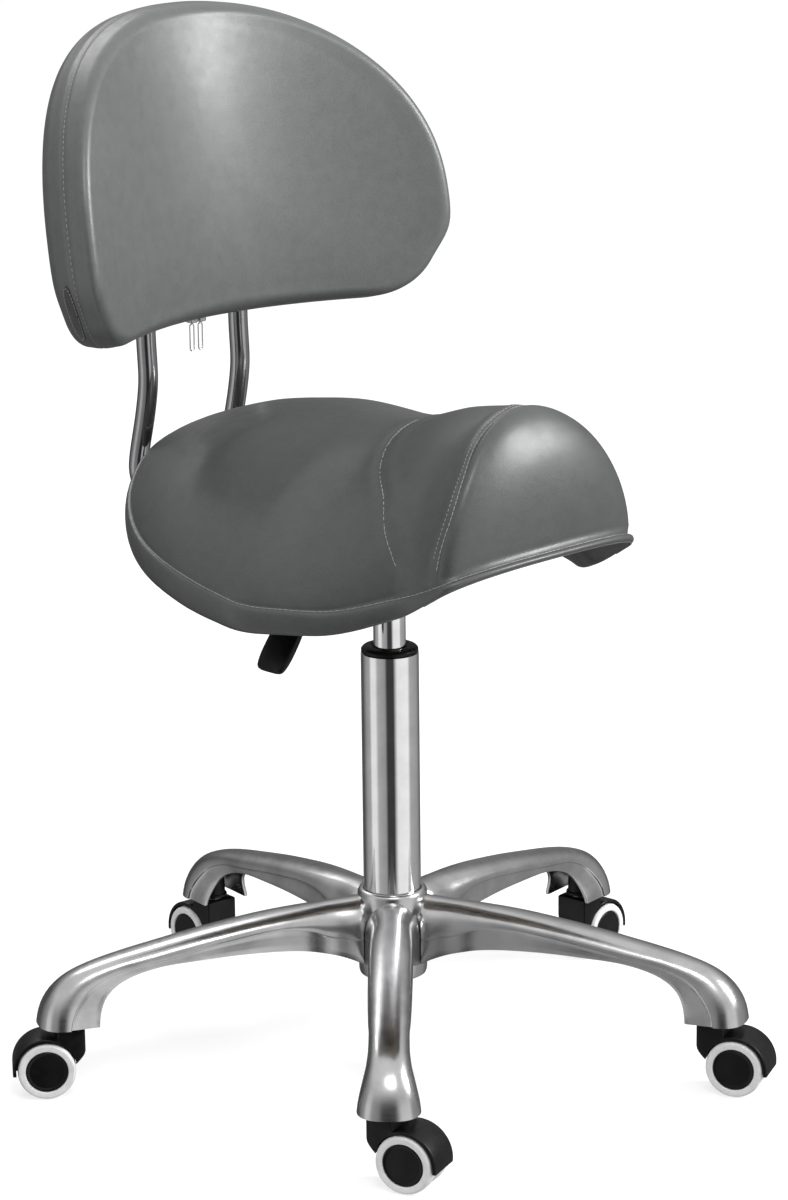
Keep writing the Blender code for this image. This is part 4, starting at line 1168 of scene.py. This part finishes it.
def zip_fastener(tree):
    """Zip tape and teeth along the rear foot of the cushion, two sliders and wire pulls."""
    line = []
    for step in range(61):
        x = -0.150 + 0.300 * step / 60
        start = panel_point(x, BACK_BOTTOM - 0.05, 0.0)
        aim = panel_point(x, BACK_BOTTOM + 0.010, -BACK_BAND / 2 + 0.002)
        hit = tree.ray_cast(start, (aim - start).normalized())
        if hit[0] is None:
            hit = tree.find_nearest(aim)
        line.append((hit[0], hit[1]))
    tape = bmesh.new()
    left = [tape.verts.new(p + n * 0.0005 + Vector((0, -0.0045, 0.0002))) for p, n in line]
    right = [tape.verts.new(p + n * 0.0005 + Vector((0, 0.0045, 0.0014))) for p, n in line]
    for a in range(len(line) - 1):
        tape.faces.new((left[a], left[a + 1], right[a + 1], right[a]))
    bmesh.ops.solidify(tape, geom=tape.faces[:], thickness=0.0006)
    piece(finished(tape, "zip_tape", 40.0), WEBBING, "seat")
    teeth = bmesh.new()
    points = spline([tuple(p + n * 0.0012) for p, n in line], 170)
    for a, b in zip(points[::1], points[1:]):
        middle = (Vector(a) + Vector(b)) / 2
        capsule_into(teeth, middle - Vector((0, 0.0022, 0)), middle + Vector((0, 0.0022, 0)),
                     0.00050, 5)
    piece(finished(teeth, "zip_teeth", 60.0), ZINC, "seat")
    for side in ("left", "right"):
        name = f"zipper_pull_{side}"
        low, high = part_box(name)
        x = (low[0] + high[0]) / 2
        y = (low[1] + high[1]) / 2
        top = high[2]
        slider = rounded(((-0.0040, -0.0050), (0.0040, -0.0050), (0.0030, 0.0050),
                          (-0.0030, 0.0050)), 0.0015, 4)
        rings = [[Vector((x + a * size, y + 0.0005 + b * size, top + 0.0002 + rise))
                  for a, b in slider] for rise, size in ((0.0, 0.86), (0.0007, 1.0),
                                                         (0.0040, 1.0), (0.0047, 0.86))]
        piece(skinned(f"zip_slider_{side}", rings, "fan", 40.0), ZINC, "seat")
        length = high[2] - low[2]
        loop = []
        for step in range(40):
            angle = math.tau * step / 40
            half = length / 2 - 0.0030
            loop.append(Vector((x + 0.0024 * math.cos(angle), y, top - 0.0006 - length / 2
                                + math.copysign(half, math.sin(angle))
                                + 0.0024 * math.sin(angle))))
        bm = bmesh.new()
        skin_into(bm, wire_rings(loop, 0.00065), None, loop=True)
        piece(finished(bm, f"wire_pull_{side}", 0), CHROME, name, (name,))


def wire_rings(loop, radius, sides=10):
    """Rings round a closed loop of points that lies in the XZ plane."""
    rings = []
    for k, point in enumerate(loop):
        ahead = (loop[(k + 1) % len(loop)] - loop[k - 1]).normalized()
        out = ahead.cross(Vector((0, 1, 0)))
        rings.append([point + out * (radius * math.cos(math.tau * step / sides))
                      + Vector((0, radius * math.sin(math.tau * step / sides), 0))
                      for step in range(sides)])
    return rings


BACK_TUBE_RUN = 0.4680
BACK_TUBE_REAR = 0.2560
BACK_TUBE_BEND = 0.0300
BACK_TUBE_TURN = 103.0


def back_tubes():
    """The two bright tubes from the clamps under the seat up into the backrest."""
    for side in ("left", "right"):
        low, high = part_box(f"backrest_tube_{side}")
        x = (low[0] + high[0]) / 2
        radius = (high[0] - low[0]) / 2
        path = [(0.0740, BACK_TUBE_RUN), (0.120, BACK_TUBE_RUN), (0.165, BACK_TUBE_RUN),
                (0.205, BACK_TUBE_RUN)]
        middle = BACK_TUBE_REAR - BACK_TUBE_BEND
        for step in range(9):
            angle = math.radians(BACK_TUBE_TURN * step / 8)
            path.append((middle + BACK_TUBE_BEND * math.sin(angle),
                         BACK_TUBE_RUN + BACK_TUBE_BEND * (1 - math.cos(angle))))
        path += [(0.2477, 0.536), (0.2418, 0.564), (0.2402, 0.578), (0.2404, 0.592),
                 (0.2415, 0.612), (0.2424, 0.645), (0.2455, 0.670), (0.2545, 0.730)]
        points = spline([(x, COLUMN.y + y, z) for y, z in path], 180)
        mesh = skinned(f"bright_tube_{side}", tube_rings(points, radius, 48), "fan", 40.0)
        # Painted shade: the tubes' chrome is coloured darker than the column's, for the dark
        # reflections along them.
        piece(mesh, TUBE_CHROME_PAINTED_DARK, "seat", (f"backrest_tube_{side}",))


def carried_over():
    """Better materials on the CAD parts whose shape stays as it is."""
    finishes = {"seat_mechanism": BLACK_STEEL, "backrest_bracket": BLACK_STEEL,
                "seat_board": PLYWOOD, "backrest_board": PLYWOOD, "lever_pivot_pin": ZINC,
                "release_button": ZINC, "gas_rod": CHROME, "thrust_bearing": ZINC,
                "rod_retaining_clip": ZINC}
    for number in CASTERS:
        finishes[f"caster_{number}_stem"] = ZINC
        finishes[f"caster_{number}_axle"] = ZINC
    for number in range(1, 5):
        finishes[f"mechanism_bolt_{number}"] = ZINC
    for name, finish in finishes.items():
        for slot in NODES[name].material_slots:
            slot.material = finish


# ---------------------------------------------------------------- camera, floor and light
ROOM_WALLS = (   # turn from behind the stool (0), past the camera (0.5), and a grey
    (0.0, 0.14), (0.13, 0.08), (0.20, 0.34), (0.255, 0.44), (0.275, 0.90), (0.33, 0.90),
    (0.36, 0.45), (0.44, 0.34), (0.465, 0.05), (0.535, 0.05), (0.575, 0.92), (0.70, 1.0),
    (0.73, 0.45), (0.84, 0.36), (0.92, 0.12), (1.0, 0.20))
TO_CAMERA = (-0.7071, -0.7071, 0.0)
TO_RIGHT = (0.7071, -0.7071, 0.0)
ROOM_HEIGHT = ((0.0, 0.20), (0.45, 0.34), (0.60, 0.45), (0.80, 0.86), (1.0, 0.95))


def camera():
    """A long lens, a little above the seat, in front of the stool on its right."""
    pitch, yaw, roll = 0.26266063, 0.00126496, -0.01088759
    ahead = Vector((math.sin(yaw) * math.cos(pitch), math.cos(yaw) * math.cos(pitch),
                    -math.sin(pitch)))
    side = Vector((math.cos(yaw), -math.sin(yaw), 0.0))
    up = side.cross(ahead)
    right = side * math.cos(roll) + up * math.sin(roll)
    top = up * math.cos(roll) - side * math.sin(roll)
    facing = Matrix((right, top, -ahead)).transposed().to_4x4()
    turn = Matrix.Rotation(math.radians(-45.0), 4, "Z")
    place = Matrix.Translation((COLUMN.x, COLUMN.y, 0.0)) @ turn
    data = bpy.data.cameras.new("camera")
    data.sensor_fit = "VERTICAL"
    data.sensor_height = 36.0
    data.lens = 3998.4909 / 1200 * 36.0
    data.clip_end = 100.0
    view = new_object("camera", data)
    view.matrix_world = place @ Matrix.Translation((0.0, -3.3, 1.2983479)) @ facing
    bpy.context.scene.camera = view


def floor():
    """A plain white studio floor that lights up by itself and takes a faint shadow."""
    bm = bmesh.new()
    bmesh.ops.create_grid(bm, x_segments=2, y_segments=2, size=60.0)
    mesh = finished(bm, "studio_floor")
    made = new_object("studio_floor", mesh)
    made.location.z = -0.0002
    made.visible_glossy = False
    made.visible_diffuse = False
    finish = Finish("studio_floor", (0.50, 0.50, 0.50), 0.9, Specular_IOR_Level=0.0,
                    Emission_Color=(1.0, 1.0, 1.0, 1.0), Emission_Strength=0.62)
    finish.tint(finish.noise(0.8, 2.0), (0.0, 0.49), (1.0, 0.51))
    mesh.materials.append(finish.material)


def softbox(name, place, target, size, power, colour=(1.0, 1.0, 1.0)):
    """A rectangular soft light aimed at a point."""
    data = bpy.data.lights.new(name, "AREA")
    data.shape = "RECTANGLE"
    data.size, data.size_y = size
    data.energy = power
    data.color = colour
    made = new_object(name, data)
    made.location = place
    aim = Vector(target) - Vector(place)
    made.rotation_euler = aim.to_track_quat("-Z", "Y").to_euler()


def studio():
    """A grey room with bright and dark strips for the metal, and soft lights above."""
    scene = bpy.context.scene
    scene.view_settings.view_transform = "Standard"
    world = bpy.data.worlds.new("studio")
    world.use_nodes = True
    scene.world = world
    tree = world.node_tree
    direction = tree.nodes.new("ShaderNodeTexCoord").outputs["Generated"]

    towards = add_node(tree, "ShaderNodeVectorMath", {0: direction, 1: TO_CAMERA},
                       operation="DOT_PRODUCT").outputs["Value"]
    sideways = add_node(tree, "ShaderNodeVectorMath", {0: direction, 1: TO_RIGHT},
                        operation="DOT_PRODUCT").outputs["Value"]
    angle = add_node(tree, "ShaderNodeMath", {0: sideways, 1: towards},
                     operation="ARCTAN2").outputs[0]
    turn = add_node(tree, "ShaderNodeMath", {0: angle, 1: 1 / math.tau, 2: 0.5},
                    operation="MULTIPLY_ADD").outputs[0]
    height = add_node(tree, "ShaderNodeSeparateXYZ", {0: direction}).outputs["Z"]
    level = add_node(tree, "ShaderNodeMath", {0: height, 1: 0.5, 2: 0.5},
                     operation="MULTIPLY_ADD").outputs[0]
    walls = add_node(tree, "ShaderNodeValToRGB", {"Fac": turn})
    upper = add_node(tree, "ShaderNodeValToRGB", {"Fac": level})
    set_stops(walls.color_ramp, ROOM_WALLS)
    set_stops(upper.color_ramp, ROOM_HEIGHT)
    cover = add_node(tree, "ShaderNodeMapRange",
                     {"Value": height, "From Min": 0.18, "From Max": 0.62}).outputs[0]
    mixed = add_node(tree, "ShaderNodeMix",
                     {MIX_BY: cover, MIX_FIRST: walls.outputs["Color"],
                      MIX_SECOND: upper.outputs["Color"]}, data_type="RGBA")
    room = tree.nodes["Background"]
    tree.links.new(mixed.outputs[MIXED], room.inputs["Color"])
    room.inputs["Strength"].default_value = 1.0
    softbox("key", (-1.3, -1.7, 3.0), (0, 0, 0.55), (1.0, 1.0), 26.0)
    softbox("fill", (2.0, -2.2, 2.0), (0, 0, 0.72), (0.9, 1.5), 92.0)
    softbox("back", (0.8, 2.4, 2.6), (0, 0, 0.6), (1.4, 1.0), 14.0)


def main():
    """Everything, in order."""
    camera()
    floor()
    studio()
    base()
    gas_column()
    casters()
    height_lever()
    seat()
    backrest()
    back_tubes()
    carried_over()


main()
